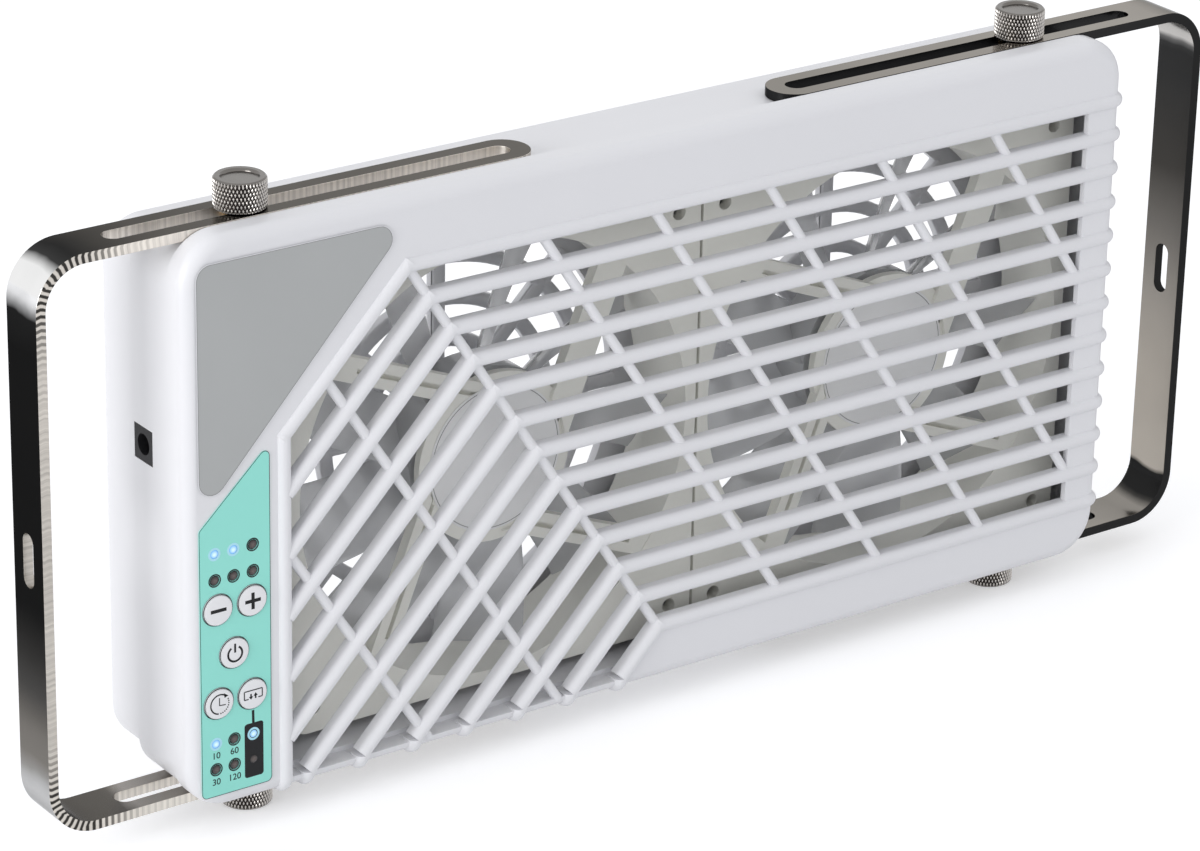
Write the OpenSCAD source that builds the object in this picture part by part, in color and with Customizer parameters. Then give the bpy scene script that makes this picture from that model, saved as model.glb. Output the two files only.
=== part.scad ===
// Roof vent fan: two axial fans in a long two-part casing, held by two slotted steel strip brackets.
// Millimetres, +Z up, +X along the casing, front towards -Y, origin at the centre of the bounding box.

/* [Casing] */
// Width of the casing
casing_w = 330; // [300:1:380]
// Height of the front cover over its ridges
casing_h = 170; // [150:1:200]
// Depth of the casing, front face to rear face
casing_d = 46; // [40:1:70]
// Corner radius seen from the front
corner_r = 14; // [10:0.5:25]
// Radius of the front edges
edge_r = 4; // [3:0.5:6]
// Radius of the rear edges
rear_edge_r = 5; // [3:0.5:8]
// Wall thickness of the mouldings
wall = 2; // [1.8:0.1:3]
// Depth of the front cover
cover_d = 27; // [24:0.5:30]
// Depth of the raised ridge in front of the bracket arms
ridge_d = 8.5; // [6:0.5:12]
// Drop from the ridge to the ledge under a bracket arm
ledge_drop = 3; // [2:0.1:4]
// Height of the rear shell
shell_h = 158.6; // [150:0.1:190]
// Step between the casing sides at the parting line
side_step = 0.3; // [0:0.1:1]
// Length of the shell rim inside the cover
rim_l = 5; // [3:0.5:8]
// Clearance between the rim and the cover
rim_gap = 0.2; // [0.1:0.05:0.5]

/* [Grille] */
// Height of the top rib above the casing centre
rib_top = 64.6; // [50:0.1:80]
// Spacing of the ribs
rib_pitch = 11; // [9:0.5:14]
// Width of a rib
rib_w = 4.5; // [3:0.1:6]
// How far a rib stands out of the front face
rib_proud = 1.5; // [0.5:0.1:2.5]
// How far a rib reaches behind the front face
rib_back = 2.9; // [2.6:0.1:6]
// Distance of the bend of the top rib from the left end of the casing
bend_in = 71.6; // [55:0.1:85]
// Shift of the bend from one rib to the next
bend_dx = 7.4; // [6:0.1:9]
// Slope of the diagonal ribs in degrees
diag_a = 46; // [40:0.5:55]
// Width of the frame left of the grille opening
frame_l = 33.7; // [25:0.1:45]
// Width of the frame right of the grille opening
frame_r = 13.2; // [7:0.1:25]
// Height of the frame below the grille opening
frame_b = 3.5; // [2:0.1:10]
// Radius of the right opening corners
open_corner_r = 2; // [1:0.5:4]
// Depth of the cut for the opening
open_cut_d = 6; // [4:0.5:8]
// Width of a cross bar
bar_w = 3; // [2.5:0.1:3.4]
// How far a cross bar stands out of the front face
bar_proud = 0.3; // [0:0.1:1.5]
// How far a cross bar reaches behind the front face
bar_back = 1.6; // [1.4:0.1:5]

/* [Control panel] */
// Thickness of the control label
label_t = 0.3; // [0.2:0.1:0.8]
// Corner radius of the control label
label_r = 1.6; // [1:0.1:4]
// Thickness of the badge plate
badge_t = 0.5; // [0.3:0.1:1]
// Corner radius of the badge plate
badge_r = 4.3; // [2:0.1:6]
// Radius of a push button
button_r = 4.6; // [4:0.1:5]
// Gap around a push button
button_gap = 0.3; // [0.2:0.05:0.5]
// How far a push button stands out of the front face
button_proud = 0.9; // [0.5:0.1:2]
// Radius of the collar behind a push button
collar_r = 5.2; // [5:0.1:5.4]
// Stroke of a push button
button_stroke = 0.4; // [0.2:0.05:0.6]
// Radius of an indicator light
light_r = 1.35; // [1:0.05:2]
// Gap around an indicator light
light_gap = 0.2; // [0.1:0.05:0.4]
// Depth of the circuit board's front behind the front face
board_y = 8; // [7:0.5:10]
// Thickness of the circuit board
board_t = 1.6; // [1:0.1:2]
// Side of the inlet body along the depth
inlet_d = 9.5; // [8:0.5:12]
// Height of the inlet body
inlet_h = 10.2; // [8:0.1:12]
// Length of the inlet body
inlet_l = 11; // [9:0.5:16]
// Radius of the inlet socket
socket_r = 3.1; // [2:0.05:3.5]
// Radius of the inlet pin
pin_r = 1; // [0.8:0.05:1.3]

/* [Fans] */
// Side of a fan frame
fan_w = 140; // [120:1:140]
// Depth of a fan frame
fan_d = 25; // [20:1:27]
// Gap between the two fan frames
fan_gap = 1; // [0.5:0.1:3]
// Gap between the right fan frame and the right end of the casing
fan_end_gap = 8.5; // [7:0.1:12]
// Gap between the fan frames and the floor of the rear shell
fan_floor_gap = 0.8; // [0.3:0.1:2]
// Room left of the fan frames for the control panel
panel_room = 40.5; // [38:0.1:50]
// Depth of the fan front behind the front face
fan_y = 12; // [10:0.5:16]
// Narrowest wall of a fan frame beside its bore
fan_wall = 3.5; // [3:0.1:8]
// Wall of the fan tube
tube_t = 2; // [1.5:0.1:3]
// Thickness of a fan flange
flange_t = 4; // [3:0.5:5]
// Distance of the fan mounting holes from the sides of the frame
fan_hole_in = 7.75; // [6:0.05:10]
// Radius of a fan mounting hole
fan_hole_r = 2.2; // [1.8:0.1:2.5]
// Radius of the hub
hub_r = 26; // [22:0.5:30]
// Width of a fan strut
strut_w = 7.5; // [5:0.5:10]
// Width of the strut that carries the lead
lead_strut_w = 10; // [8:0.5:12]
// Width of the groove along a strut
groove_w = 1.4; // [0.8:0.1:2]
// Depth of the groove along a strut
groove_d = 2.2; // [0.5:0.1:2.8]
// Offset of the struts from the fan axis
strut_off = 17; // [12:0.5:20]
// Direction of the first strut in degrees
strut_a = 68; // [60:1:80]
// Number of blades
blades = 9; // [5:1:13]
// Gap between the blade tips and the bore
tip_gap = 1.5; // [1:0.1:3]
// Chord of a blade
blade_chord = 25; // [18:0.5:32]
// Pitch of a blade in degrees
blade_a = 37; // [25:1:50]
// Thickness of a blade
blade_t = 1.8; // [1.2:0.1:3]
// Radius of the fan shaft
shaft_r = 1.5; // [1:0.1:3]
// Running clearance of the fan shaft
shaft_gap = 0.05; // [0.02:0.01:0.1]
// Radius of a fan lead
lead_r = 1.3; // [1:0.1:1.5]

/* [Guard] */
// Rows of openings between the rings of a guard
guard_rows = 4; // [3:1:5]
// Number of spokes of a guard
guard_spokes = 8; // [4:2:12]
// Width of the rings and spokes
guard_w = 4.4; // [3:0.1:5]
// Thickness of the guard
guard_t = 3; // [2:0.1:4]
// Distance of the outer openings from the fan bore
guard_edge = 4.7; // [3:0.1:10]

/* [Brackets] */
// Width over the outer faces of both brackets
span_w = 408; // [380:1:440]
// Thickness of the steel strip
strip_t = 3; // [2:0.1:4]
// Width of the steel strip
strip_w = 16; // [12:0.5:18]
// Outer radius of the strip bends
bend_r = 15; // [8:0.5:20]
// Gap between a bracket and the casing
strip_gap = 0.2; // [0.1:0.05:0.5]
// Distance of the arm tips from the middle
arm_tip = 43; // [30:1:60]
// Width of the arm slots
slot_w = 6.5; // [6.2:0.1:8]
// Inner end of the arm slots
slot_in = 49; // [40:1:70]
// Outer end of the arm slots
slot_out = 179; // [150:1:185]
// Width of the slot in a bracket web
web_slot_w = 5.5; // [4:0.1:8]
// Length of the slot in a bracket web
web_slot_l = 16; // [10:0.5:25]
// Height of the middle of the web slot
web_slot_z = -3; // [-20:0.5:20]

/* [Thumb screws] */
// Distance of the thumb screws from the middle
screw_x = 136.5; // [120:0.5:150]
// Radius of the knurled head
head_r = 7.5; // [6:0.1:9]
// Height of the knurled head
head_h = 9; // [6:0.5:14]
// Chamfer of the knurled head
head_ch = 0.6; // [0.2:0.1:1]
// Radius of the dish in the head
dish_r = 5.6; // [3:0.1:7]
// Depth of the dish in the head
dish_d = 0.8; // [0.2:0.1:1.5]
// Gap under the knurled head
head_gap = 0.05; // [0.02:0.01:0.2]
// Radius of the screw shank
shank_r = 2.95; // [2:0.05:3]
// Running clearance of the shank in its insert
shank_gap = 0.05; // [0.02:0.01:0.1]
// Outer radius of the brass insert
insert_r = 4.25; // [3.8:0.05:5]
// Length of the brass insert
insert_l = 4.6; // [3.5:0.1:4.8]

/* [Hidden] */
$fn = 48;
y_face = rib_proud / 2 - casing_d / 2;
cav_h = casing_h - 2 * ledge_drop - 2 * wall;
ledge_z = casing_h / 2 - ledge_drop;
floor_z = cav_h / 2;
cav_r = corner_r - ledge_drop - wall;
rim_w = casing_w - 2 * wall - 2 * rim_gap;
bay_h = min(shell_h - 2 * wall, cav_h - 2 * rim_gap - 2 * wall);
open_l = frame_l - casing_w / 2;
open_r = casing_w / 2 - frame_r;
open_b = frame_b - casing_h / 2;
bend_x0 = bend_in - casing_w / 2;
ribs = 13;
low_z = rib_top - (ribs - 1) * rib_pitch;
low_x = bend_x0 + (ribs - 1) * bend_dx;
bar_tops = [for (d = [-18.7, 26.5, bend_in, 116.5, 155, 195.3, 236.3, 279.4]) d - casing_w / 2];
window_pts = [
    [open_l, open_b],
    [low_x + 0.6 - (low_z - open_b) / tan(diag_a), open_b],
    [low_x + 0.6, low_z],
    [open_r - open_corner_r, low_z],
    [open_r - open_corner_r, rib_top],
    [bend_x0, rib_top],
    [open_l, rib_top - (bend_x0 - open_l) * tan(diag_a)]
];
badge_pts = from_left([[8.6, 15.5], [62, 73.7], [8.6, 73.7]]);
label_pts = from_left([[5.7, -78.8], [25.1, -78.8], [25.1, 18.8], [5.7, 0.5]]);
button_at = from_left([[9.7, -23.4], [20.7, -23.2], [14.8, -37.6], [9.7, -51.9], [20.5, -51.7]]);
speed_at = from_left([[8.9, -6.5], [14.9, -6.5], [21.1, -6.5], [8.9, -14.4], [14.9, -14.4], [21.1, -14.4]]);
timer_at = from_left([[8.7, -64.2], [14.6, -64.2], [8.7, -72.1], [14.6, -72.1]]);
airflow_at = from_left([[20.8, -64.2], [20.8, -72.1]]);
board_at = from_left([[4, -79], [28.5, 12]]);
board_r = 6;
board_screw_at = from_left([[8, 6], [6.7, -44.5], [25.5, -37]]);
receiver_at = from_left([[16, -1]])[0];
inlet_x = -casing_w / 2;
inlet_y = 21.5;
inlet_z = 20.3;
inlet_lip_h = 14.2;
post_r = 4;
post_gap = 4.5;
post_in = 1.3;
fan_side = min(fan_w, (casing_w - panel_room - fan_end_gap - fan_gap) / 2,
    bay_h - fan_floor_gap - post_gap - 2 * post_r - post_in);
fan_pitch = fan_side + fan_gap;
fans_x = casing_w / 2 - fan_end_gap - fan_side / 2 - fan_pitch / 2;
fan_z = fan_floor_gap + fan_side / 2 - bay_h / 2;
bore_r = fan_side / 2 - fan_wall;
fan_hole = fan_side / 2 - fan_hole_in;
post_z = fan_z + fan_side / 2 + post_gap + post_r;
post_at = concat(from_left([[15, post_z], [15, 36]]), [[fans_x, post_z], [casing_w / 2 - 15, post_z]]);
post_y = 24;
case_screw_r = 1.4;
fan_xs = [fans_x - fan_pitch / 2, fans_x + fan_pitch / 2];
fan_holes = [for (x = fan_xs) for (i = [-1, 1]) for (j = [-1, 1]) [x + i * fan_hole, fan_z + j * fan_hole]];
hub_y = fan_y + 1.5;
hub_base_t = 2.5;
tube_core_r = 5.5;
race_r = 4;
sticker_r = hub_r - 3.5;
rotor_y = fan_y + 6.5;
rotor_back = fan_y + fan_d - 4;
blade_l = fan_d - 8.5;
cup_r = hub_r - 3;
cup_t = 1;
magnet_in = cup_r - 2.8;
stator_r = magnet_in - 0.7;
stator_d = 8;
stator_ring = 2.5;
core_r = 9;
tooth_w = 6;
coil_t = 1.4;
coil_gap = 0.1;
arm_z = ledge_z + strip_gap;
arm_top = arm_z + strip_t;
strip_y = ridge_d + strip_gap;
strip_mid = strip_y + strip_w / 2;
lead_y1 = fan_y + 2.4;
lead_y2 = fan_y + 6.4;
lead_z = 66.2;
left_lead_pts = [[-35, 15, -3.6], [-32.8, 15, 2], [-9.5, lead_y1, 59.4], [-7.4, lead_y1, 64.6],
    [-9, lead_y1, lead_z], [-13, lead_y1, lead_z], [-126, lead_y1, lead_z], [-141, lead_y1, 51],
    [-144.3, lead_y1, 44], [-144.3, 12.2, 20], [-144.3, 12.2, 6]];
right_lead_pts = [[106, 15, -3.6], [108.2, 15, 2], [131.5, lead_y1, 59.4], [133.6, lead_y1, 64.6],
    [132, lead_y1 + 0.6, lead_z], [126, lead_y2, lead_z], [-122, lead_y2, lead_z], [-136, lead_y2, 52],
    [-139.1, lead_y1, 42], [-139.1, 12.2, 20], [-139.1, 12.2, 6]];
inlet_lead_pts = [[-154, 21.5, 20.3], [-152.6, 21.5, 20.3], [-150.8, 20.5, 18.5], [-150, 17, 14.5],
    [-150, 13.2, 11], [-150, 12.2, 8.8], [-150, 12.2, 6]];
plug_at = from_left([[15, 0], [20.7, 0], [25.9, 0]]);
plug_w = 4.4;
plug_d = 5;
plug_h = 6;
boss_l = 2.9;
boss_r = insert_r + 0.9;
switch_w = 6;
plunger_y = 5;
rear_y = casing_d - guard_t;
fan_post_y = fan_y + fan_d;
fan_screw_r = 1.75;
head_z = arm_top + head_gap;

// Points p with their widths measured from the left end of the casing
function from_left(p) = [for (q = p) [q[0] - casing_w / 2, q[1]]];

// Unit vector of v
function unit(v) = v / norm(v);

// Outward normal of the edge from p to q of a counter-clockwise outline
function side_n(p, q) = unit([q[1] - p[1], p[0] - q[0]]);

// Direction of a lead at point i, halfway between its two runs
function run_dir(p, i) = unit(
    (i > 0 ? unit(p[i] - p[i - 1]) : [0, 0, 0]) + (i < len(p) - 1 ? unit(p[i + 1] - p[i]) : [0, 0, 0]));

// Moves a drawing from depth behind the front face to the shared frame
module placed() {
    translate([0, y_face, 0]) children();
}

// Upright plate of thickness t from depth y0, its outline drawn as width and height
module slab(y0, t) {
    translate([0, y0 + t, 0]) rotate([90, 0, 0]) linear_extrude(t) children();
}

// Round rod along the depth
module rod(x, z, y0, y1, r) {
    translate([x, y0, z]) rotate([-90, 0, 0]) cylinder(h = y1 - y0, r = r);
}

// Ring along the depth
module ring(x, z, y0, y1, r, inner) {
    difference() {
        rod(x, z, y0, y1, r);
        rod(x, z, y0 - 1, y1 + 1, inner);
    }
}

// Convex counter-clockwise outline with the round corners of radius r outside its points
module blob(p, r) {
    n = len(p);
    polygon([for (i = [0:n - 1]) for (q = [side_n(p[(i + n - 1) % n], p[i]), side_n(p[i], p[(i + 1) % n])])
        p[i] + r * q]);
    for (c = p) translate(c) circle(r);
}

// Rectangle w by h about the origin with corner radius r
module round_rect(w, h, r) {
    square([w - 2 * r, h], center = true);
    square([w, h - 2 * r], center = true);
    for (x = [-1, 1]) for (z = [-1, 1]) translate([x * (w / 2 - r), z * (h / 2 - r)]) circle(r);
}

// Section across one rounded front edge, x outwards over a length l and y the depth
module edge_section(l, d, re) {
    square([l - re, d]);
    translate([0, re]) square([l, d - re]);
    translate([l - re, re]) circle(re);
}

// Box of depth d with corner radius rc and the front edges rounded to re
module pillow(w, h, d, rc, re) {
    translate([rc - w / 2, 0, 0]) rotate([90, 0, 90]) linear_extrude(w - 2 * rc) {
        translate([re, -h / 2]) square([d - re, h]);
        translate([0, re - h / 2]) square([d, h - 2 * re]);
        for (s = [-1, 1]) translate([re, s * (h / 2 - re)]) circle(re);
    }
    translate([w / 2 - rc, 0, rc - h / 2]) linear_extrude(h - 2 * rc) edge_section(rc, d, re);
    translate([rc - w / 2, 0, h / 2 - rc]) rotate([0, 180, 0]) linear_extrude(h - 2 * rc) edge_section(rc, d, re);
    for (k = [0:3]) translate([(k == 0 || k == 3 ? 1 : -1) * (w / 2 - rc), 0, (k < 2 ? -1 : 1) * (h / 2 - rc)])
        rotate([0, 90 * k, 0]) rotate([-90, 0, 0]) rotate_extrude(angle = 90) edge_section(rc, d, re);
}

// Section of a rib: x is the depth, y the width
module rib_section(w, proud, back) {
    translate([w / 2 - proud, 0]) circle(w / 2);
    translate([w / 2 - proud, -w / 2]) square([back + proud - w / 2, w]);
}

// Rib from p to q, both given as width and height
module rib(p, q, w, proud, back) {
    translate([p[0], 0, p[1]]) rotate([0, -atan2(q[1] - p[1], q[0] - p[0]), 0]) rotate([90, 0, 90])
        linear_extrude(norm(q - p)) rib_section(w, proud, back);
}

// Section of a rib round an outer edge, x outwards from the middle of the edge radius
module wrap_section() {
    translate([edge_r + rib_proud - rib_w / 2, 0]) circle(rib_w / 2);
    translate([0.4, -rib_w / 2]) square([edge_r + rib_proud - rib_w / 2 - 0.4, rib_w]);
}

// End of a rib that turns round the edge towards +X and runs back for a length l
module rib_wrap(l) {
    translate([0, edge_r, 0]) rotate([0, 0, -90]) rotate_extrude(angle = 90) wrap_section();
    slab(edge_r, l) wrap_section();
}

// Outline of the grille opening
module window_outline() {
    polygon(window_pts);
    translate([0, low_z + open_corner_r]) square([open_r, rib_top - low_z - 2 * open_corner_r]);
    for (z = [low_z + open_corner_r, rib_top - open_corner_r])
        translate([open_r - open_corner_r, z]) circle(open_corner_r);
}

// Ribs that turn down at the slanted line, and the lip that they meet at the left of the opening
module ribs_all() {
    over = rib_w / 2 * tan(diag_a / 2);
    lip_x = open_l + 0.15 - rib_w / 2;
    lip_z = rib_top - (bend_x0 - lip_x) * tan(diag_a);
    lip_over = rib_w / 2 * tan(45 - diag_a / 2);
    floor_end = edge_r - casing_h / 2;
    rib([lip_x, floor_end], [lip_x, lip_z + lip_over - 0.15], rib_w, rib_proud, rib_back);
    translate([lip_x, 0, floor_end]) rotate([0, 90, 0]) rib_wrap(4);
    dir = [cos(diag_a), sin(diag_a)];
    for (i = [0:ribs - 1]) {
        x = bend_x0 + bend_dx * i;
        z = rib_top - rib_pitch * i;
        run = min((x - lip_x) / dir[0] + (i == 0 ? lip_over + 0.35 : -1.4), (z - floor_end) / dir[1]);
        end = [x, z] - run * dir;
        rib([x - over + 0.15, z], [casing_w / 2 - edge_r, z], rib_w, rib_proud, rib_back);
        rib(end, [x, z] + (over + 0.35) * dir, rib_w, rib_proud, rib_back);
        translate([casing_w / 2 - edge_r, 0, z]) rib_wrap(4);
        if (end[1] < open_b + 2) {
            translate([end[0], 0, end[1]]) rotate([0, 90, 0]) rib_wrap(4);
        }
    }
}

// Cross bars, parallel to the slanted line
module cross_bars() {
    k = bend_dx / rib_pitch;
    kt = k * tan(diag_a);
    for (t = bar_tops) {
        left = t < bend_x0 - 0.1;
        x0 = left ? max((t + kt * bend_x0) / (1 + kt), open_l - 0.4) : t;
        z1 = left ? open_b - 0.5 : max(low_z, rib_top - (open_r + 0.4 - t) / k);
        rib([x0, rib_top - (x0 - t) / k], [t + (rib_top - z1) * k, z1], bar_w, bar_proud, bar_back);
    }
}

// Outer and inner shape of the front cover
module cover_body() {
    difference() {
        union() {
            pillow(casing_w, casing_h, ridge_d, corner_r, edge_r);
            slab(ridge_d, cover_d - ridge_d) round_rect(casing_w, 2 * ledge_z, corner_r - ledge_drop);
        }
        slab(wall, edge_r) round_rect(casing_w - 2 * edge_r, cav_h - 2 * edge_r, corner_r - edge_r);
        slab(edge_r, cover_d) round_rect(casing_w - 2 * wall, cav_h, cav_r);
        slab(-1, open_cut_d + 1) window_outline();
    }
}

// White front moulding with the grille
module front_cover() {
    color("white") placed() difference() {
        union() {
            cover_body();
            ribs_all();
            cross_bars();
            for (p = post_at) rod(p[0], p[1], wall - 0.5, post_y, post_r);
            for (p = board_screw_at) rod(p[0], p[1], wall - 0.5, board_y, 2.4);
            for (x = [-1, 1]) for (z = [-floor_z - 0.5, floor_z - boss_l])
                translate([x * screw_x, strip_mid, z]) cylinder(h = boss_l + 0.5, r = boss_r);
        }
        for (p = post_at) rod(p[0], p[1], post_y - 10, post_y + 1, case_screw_r);
        for (p = board_screw_at) rod(p[0], p[1], wall + 1, board_y + 1, 1);
        for (p = button_at) rod(p[0], p[1], -1, wall + 1, button_r + button_gap);
        for (p = concat(speed_at, timer_at, airflow_at)) rod(p[0], p[1], -1, wall + 1, light_r + light_gap);
        for (x = [-1, 1]) for (z = [-floor_z - 4, floor_z - 4])
            translate([x * screw_x, strip_mid, z]) cylinder(h = 8, r = insert_r);
        translate([inlet_x - 1, inlet_y - inlet_d / 2 - 0.1, inlet_z - inlet_h / 2 - 0.1])
            cube([wall + 1.5, inlet_d + 0.2, inlet_h + 0.2]);
    }
}

// Openings of one guard between its rings and its spokes
module guard_openings() {
    step = (bore_r - guard_edge + guard_w / 2) / (guard_rows + 1);
    for (k = [1:guard_rows]) difference() {
        circle((k + 1) * step - guard_w / 2);
        circle(k * step + guard_w / 2);
        for (j = [1:guard_spokes / 2]) rotate(360 / guard_spokes * j)
            square([2 * bore_r, guard_w], center = true);
    }
}

// White rear moulding with a guard of rings and spokes behind each fan
module rear_shell() {
    color("white") placed() difference() {
        union() {
            difference() {
                union() {
                    translate([0, casing_d, 0]) rotate([0, 0, 180])
                        pillow(casing_w - 2 * side_step, shell_h, casing_d - cover_d, corner_r - 2, rear_edge_r);
                    slab(cover_d - rim_l, rim_l + 1) round_rect(rim_w, cav_h - 2 * rim_gap, cav_r - rim_gap);
                }
                slab(cover_d - rim_l - 1, rear_y - cover_d + rim_l + 1)
                    round_rect(rim_w - 2 * wall, bay_h, cav_r - wall);
                for (x = fan_xs) slab(rear_y - 1, guard_t + 2) translate([x, fan_z]) guard_openings();
            }
            for (p = post_at) rod(p[0], p[1], post_y, rear_y + 1, post_r);
            for (p = fan_holes) rod(p[0], p[1], fan_post_y, rear_y + 1, post_r);
        }
        for (p = post_at) {
            rod(p[0], p[1], post_y - 1, rear_y + 1, case_screw_r + 0.3);
            rod(p[0], p[1], rear_y + 0.2, casing_d + 1, 3.2);
        }
        for (p = fan_holes) rod(p[0], p[1], fan_post_y - 1, rear_y - 1, fan_screw_r);
        translate([-rim_w / 2 - 0.5, cover_d - rim_l - 1, inlet_z - inlet_lip_h / 2 - 0.5])
            cube([wall + 1, rim_l + 1, inlet_lip_h + 1]);
    }
}

// Grey plate at the upper left
module badge_plate() {
    color("silver") placed() slab(-badge_t, badge_t) blob(badge_pts, badge_r);
}

// Teal label round the buttons and lights
module control_label() {
    color("turquoise") placed() difference() {
        slab(-label_t, label_t) blob(label_pts, label_r);
        for (p = button_at) rod(p[0], p[1], -1, 1, button_r + button_gap);
        for (p = concat(speed_at, timer_at, airflow_at)) rod(p[0], p[1], -1, 1, light_r + light_gap);
    }
}

// Circuit board with its three lead sockets
module control_board() {
    color("green") placed() {
        difference() {
            slab(board_y, board_t) blob([board_at[0] + board_r * [1, 1], [board_at[1][0] - board_r,
                board_at[0][1] + board_r], board_at[1] - board_r * [1, 1], [board_at[0][0] + board_r,
                board_at[1][1] - board_r]], board_r);
            for (p = board_screw_at) rod(p[0], p[1], board_y - 1, board_y + board_t + 1, 1.2);
        }
        for (p = plug_at) translate([p[0] - plug_w / 2, board_y + board_t, p[1]])
            cube([plug_w, plug_d, plug_h]);
    }
}

// Screws of the circuit board
module board_screws() {
    color("gray") placed() for (p = board_screw_at) {
        rod(p[0], p[1], wall + 1.5, board_y + board_t, 1);
        rod(p[0], p[1], board_y + board_t, board_y + board_t + 1.5, 2);
    }
}

// Switches behind the buttons
module tact_switches() {
    color("black") placed() for (p = button_at) {
        translate([p[0] - switch_w / 2, plunger_y + 0.6, p[1] - switch_w / 2])
            cube([switch_w, board_y - plunger_y - 0.6, switch_w]);
        rod(p[0], p[1], plunger_y, plunger_y + 0.6, 1.5);
    }
}

// Light pipes from the circuit board to the label's front
module light_pipes(at) {
    for (p = at) rod(p[0], p[1], -label_t, board_y, light_r);
}

// Six lights for the fan speed
module speed_lights() {
    color("skyblue") placed() light_pipes(speed_at);
}

// Four lights for the timer
module timer_lights() {
    color("skyblue") placed() light_pipes(timer_at);
}

// Two lights for the air direction
module airflow_lights() {
    color("skyblue") placed() light_pipes(airflow_at);
}

// Receiver for the remote control
module remote_receiver() {
    color("black") placed() {
        translate([receiver_at[0] - 2.5, board_y - 2, receiver_at[1] - 3]) cube([5, 2, 6]);
        rod(receiver_at[0], receiver_at[1], board_y - 3.5, board_y - 2, 2);
    }
}

// Body of the power inlet in the left side
module inlet_body() {
    color("black") placed() difference() {
        union() {
            translate([inlet_x, inlet_y - inlet_d / 2, inlet_z - inlet_h / 2]) cube([inlet_l, inlet_d, inlet_h]);
            translate([inlet_x + wall, inlet_y - inlet_d / 2, inlet_z - inlet_lip_h / 2])
                cube([1.5, inlet_d, inlet_lip_h]);
        }
        translate([inlet_x - 1, inlet_y, inlet_z]) rotate([0, 90, 0]) cylinder(h = inlet_l - 0.8, r = socket_r);
        translate([inlet_x - 1, inlet_y, inlet_z]) rotate([0, 90, 0]) cylinder(h = inlet_l + 0.2, r = pin_r);
    }
}

// Centre pin of the power inlet
module inlet_pin() {
    color("silver") placed() translate([inlet_x + 4.7, inlet_y, inlet_z]) rotate([0, 90, 0])
        cylinder(h = inlet_l - 5.5, r = pin_r);
}

// Four threaded brass inserts for the thumb screws
module thread_inserts() {
    color("gold") placed() for (x = [-1, 1]) for (z = [-ledge_z, ledge_z - insert_l])
        translate([x * screw_x, strip_mid, z]) difference() {
            cylinder(h = insert_l, r = insert_r);
            translate([0, 0, -1]) cylinder(h = insert_l + 2, r = shank_r + shank_gap);
        }
}

// Screws that hold the rear shell to the front cover
module case_screws() {
    color("gray") placed() for (p = post_at) {
        rod(p[0], p[1], post_y - 9, rear_y + 0.2, case_screw_r);
        rod(p[0], p[1], rear_y + 0.2, rear_y + 2.2, 2.9);
    }
}

// Screws that hold the fan frames to the rear shell
module fan_screws() {
    color("gray") placed() for (p = fan_holes) {
        rod(p[0], p[1], fan_post_y - flange_t, rear_y - 1.5, fan_screw_r);
        rod(p[0], p[1], fan_post_y - flange_t - 2.2, fan_post_y - flange_t, 3.6);
    }
}

// Square frame of one fan with four struts, hub base and bearing tube
module fan_frame(cx) {
    placed() translate([cx, 0, fan_z]) difference() {
        union() {
            difference() {
                union() {
                    slab(fan_y, flange_t) round_rect(fan_side, fan_side, 6);
                    slab(fan_y + fan_d - flange_t, flange_t) round_rect(fan_side, fan_side, 6);
                    rod(0, 0, fan_y, fan_y + fan_d, bore_r + tube_t);
                }
                rod(0, 0, fan_y - 1, fan_y + fan_d + 1, bore_r);
            }
            for (k = [0:3]) rotate([0, -strut_a - 90 * k, 0])
                translate([-4, fan_y + 0.2, -strut_off - (k == 0 ? lead_strut_w : strut_w) / 2])
                    cube([sqrt(bore_r * bore_r - strut_off * strut_off) + 4.8, flange_t - 0.4,
                        k == 0 ? lead_strut_w : strut_w]);
            rod(0, 0, hub_y, hub_y + hub_base_t, hub_r);
            rod(0, 0, hub_y, rotor_back - 3, tube_core_r);
        }
        for (x = [-1, 1]) for (z = [-1, 1])
            rod(x * fan_hole, z * fan_hole, fan_y - 1, fan_y + fan_d + 1, fan_hole_r);
        rod(0, 0, hub_y - 1, rotor_back, race_r);
        rod(0, 0, hub_y - 2, hub_y, sticker_r + 1);
        for (k = [1:3]) rotate([0, -strut_a - 90 * k, 0])
            translate([8, fan_y - 1, -strut_off - groove_w / 2])
                cube([bore_r - 16.5, groove_d + 1.2, groove_w]);
        rotate([0, -strut_a, 0]) {
            translate([6, lead_y1, -strut_off]) rotate([0, 90, 0])
                cylinder(h = fan_side / 2 + 10, r = lead_r + 0.2);
            translate([6, lead_y1, -strut_off - lead_r - 0.2])
                cube([fan_side / 2 + 10, 3.2, 2 * lead_r + 0.4]);
            translate([fan_side / 2 + 7, fan_y + 0.9, -strut_off - 3]) cube([10, 4.7, 6]);
        }
    }
}

// Frame of the left fan
module left_fan_frame() {
    color("ivory") fan_frame(fan_xs[0]);
}

// Frame of the right fan
module right_fan_frame() {
    color("ivory") fan_frame(fan_xs[1]);
}

// Two bearings in the bearing tube of one fan
module bearings(cx) {
    placed() for (y = [hub_y + 3, rotor_back - 6.5])
        ring(cx, fan_z, y, y + 3, race_r, shaft_r + shaft_gap);
}

// Bearings of the left fan
module left_bearings() {
    color("silver") bearings(fan_xs[0]);
}

// Bearings of the right fan
module right_bearings() {
    color("silver") bearings(fan_xs[1]);
}

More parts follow.
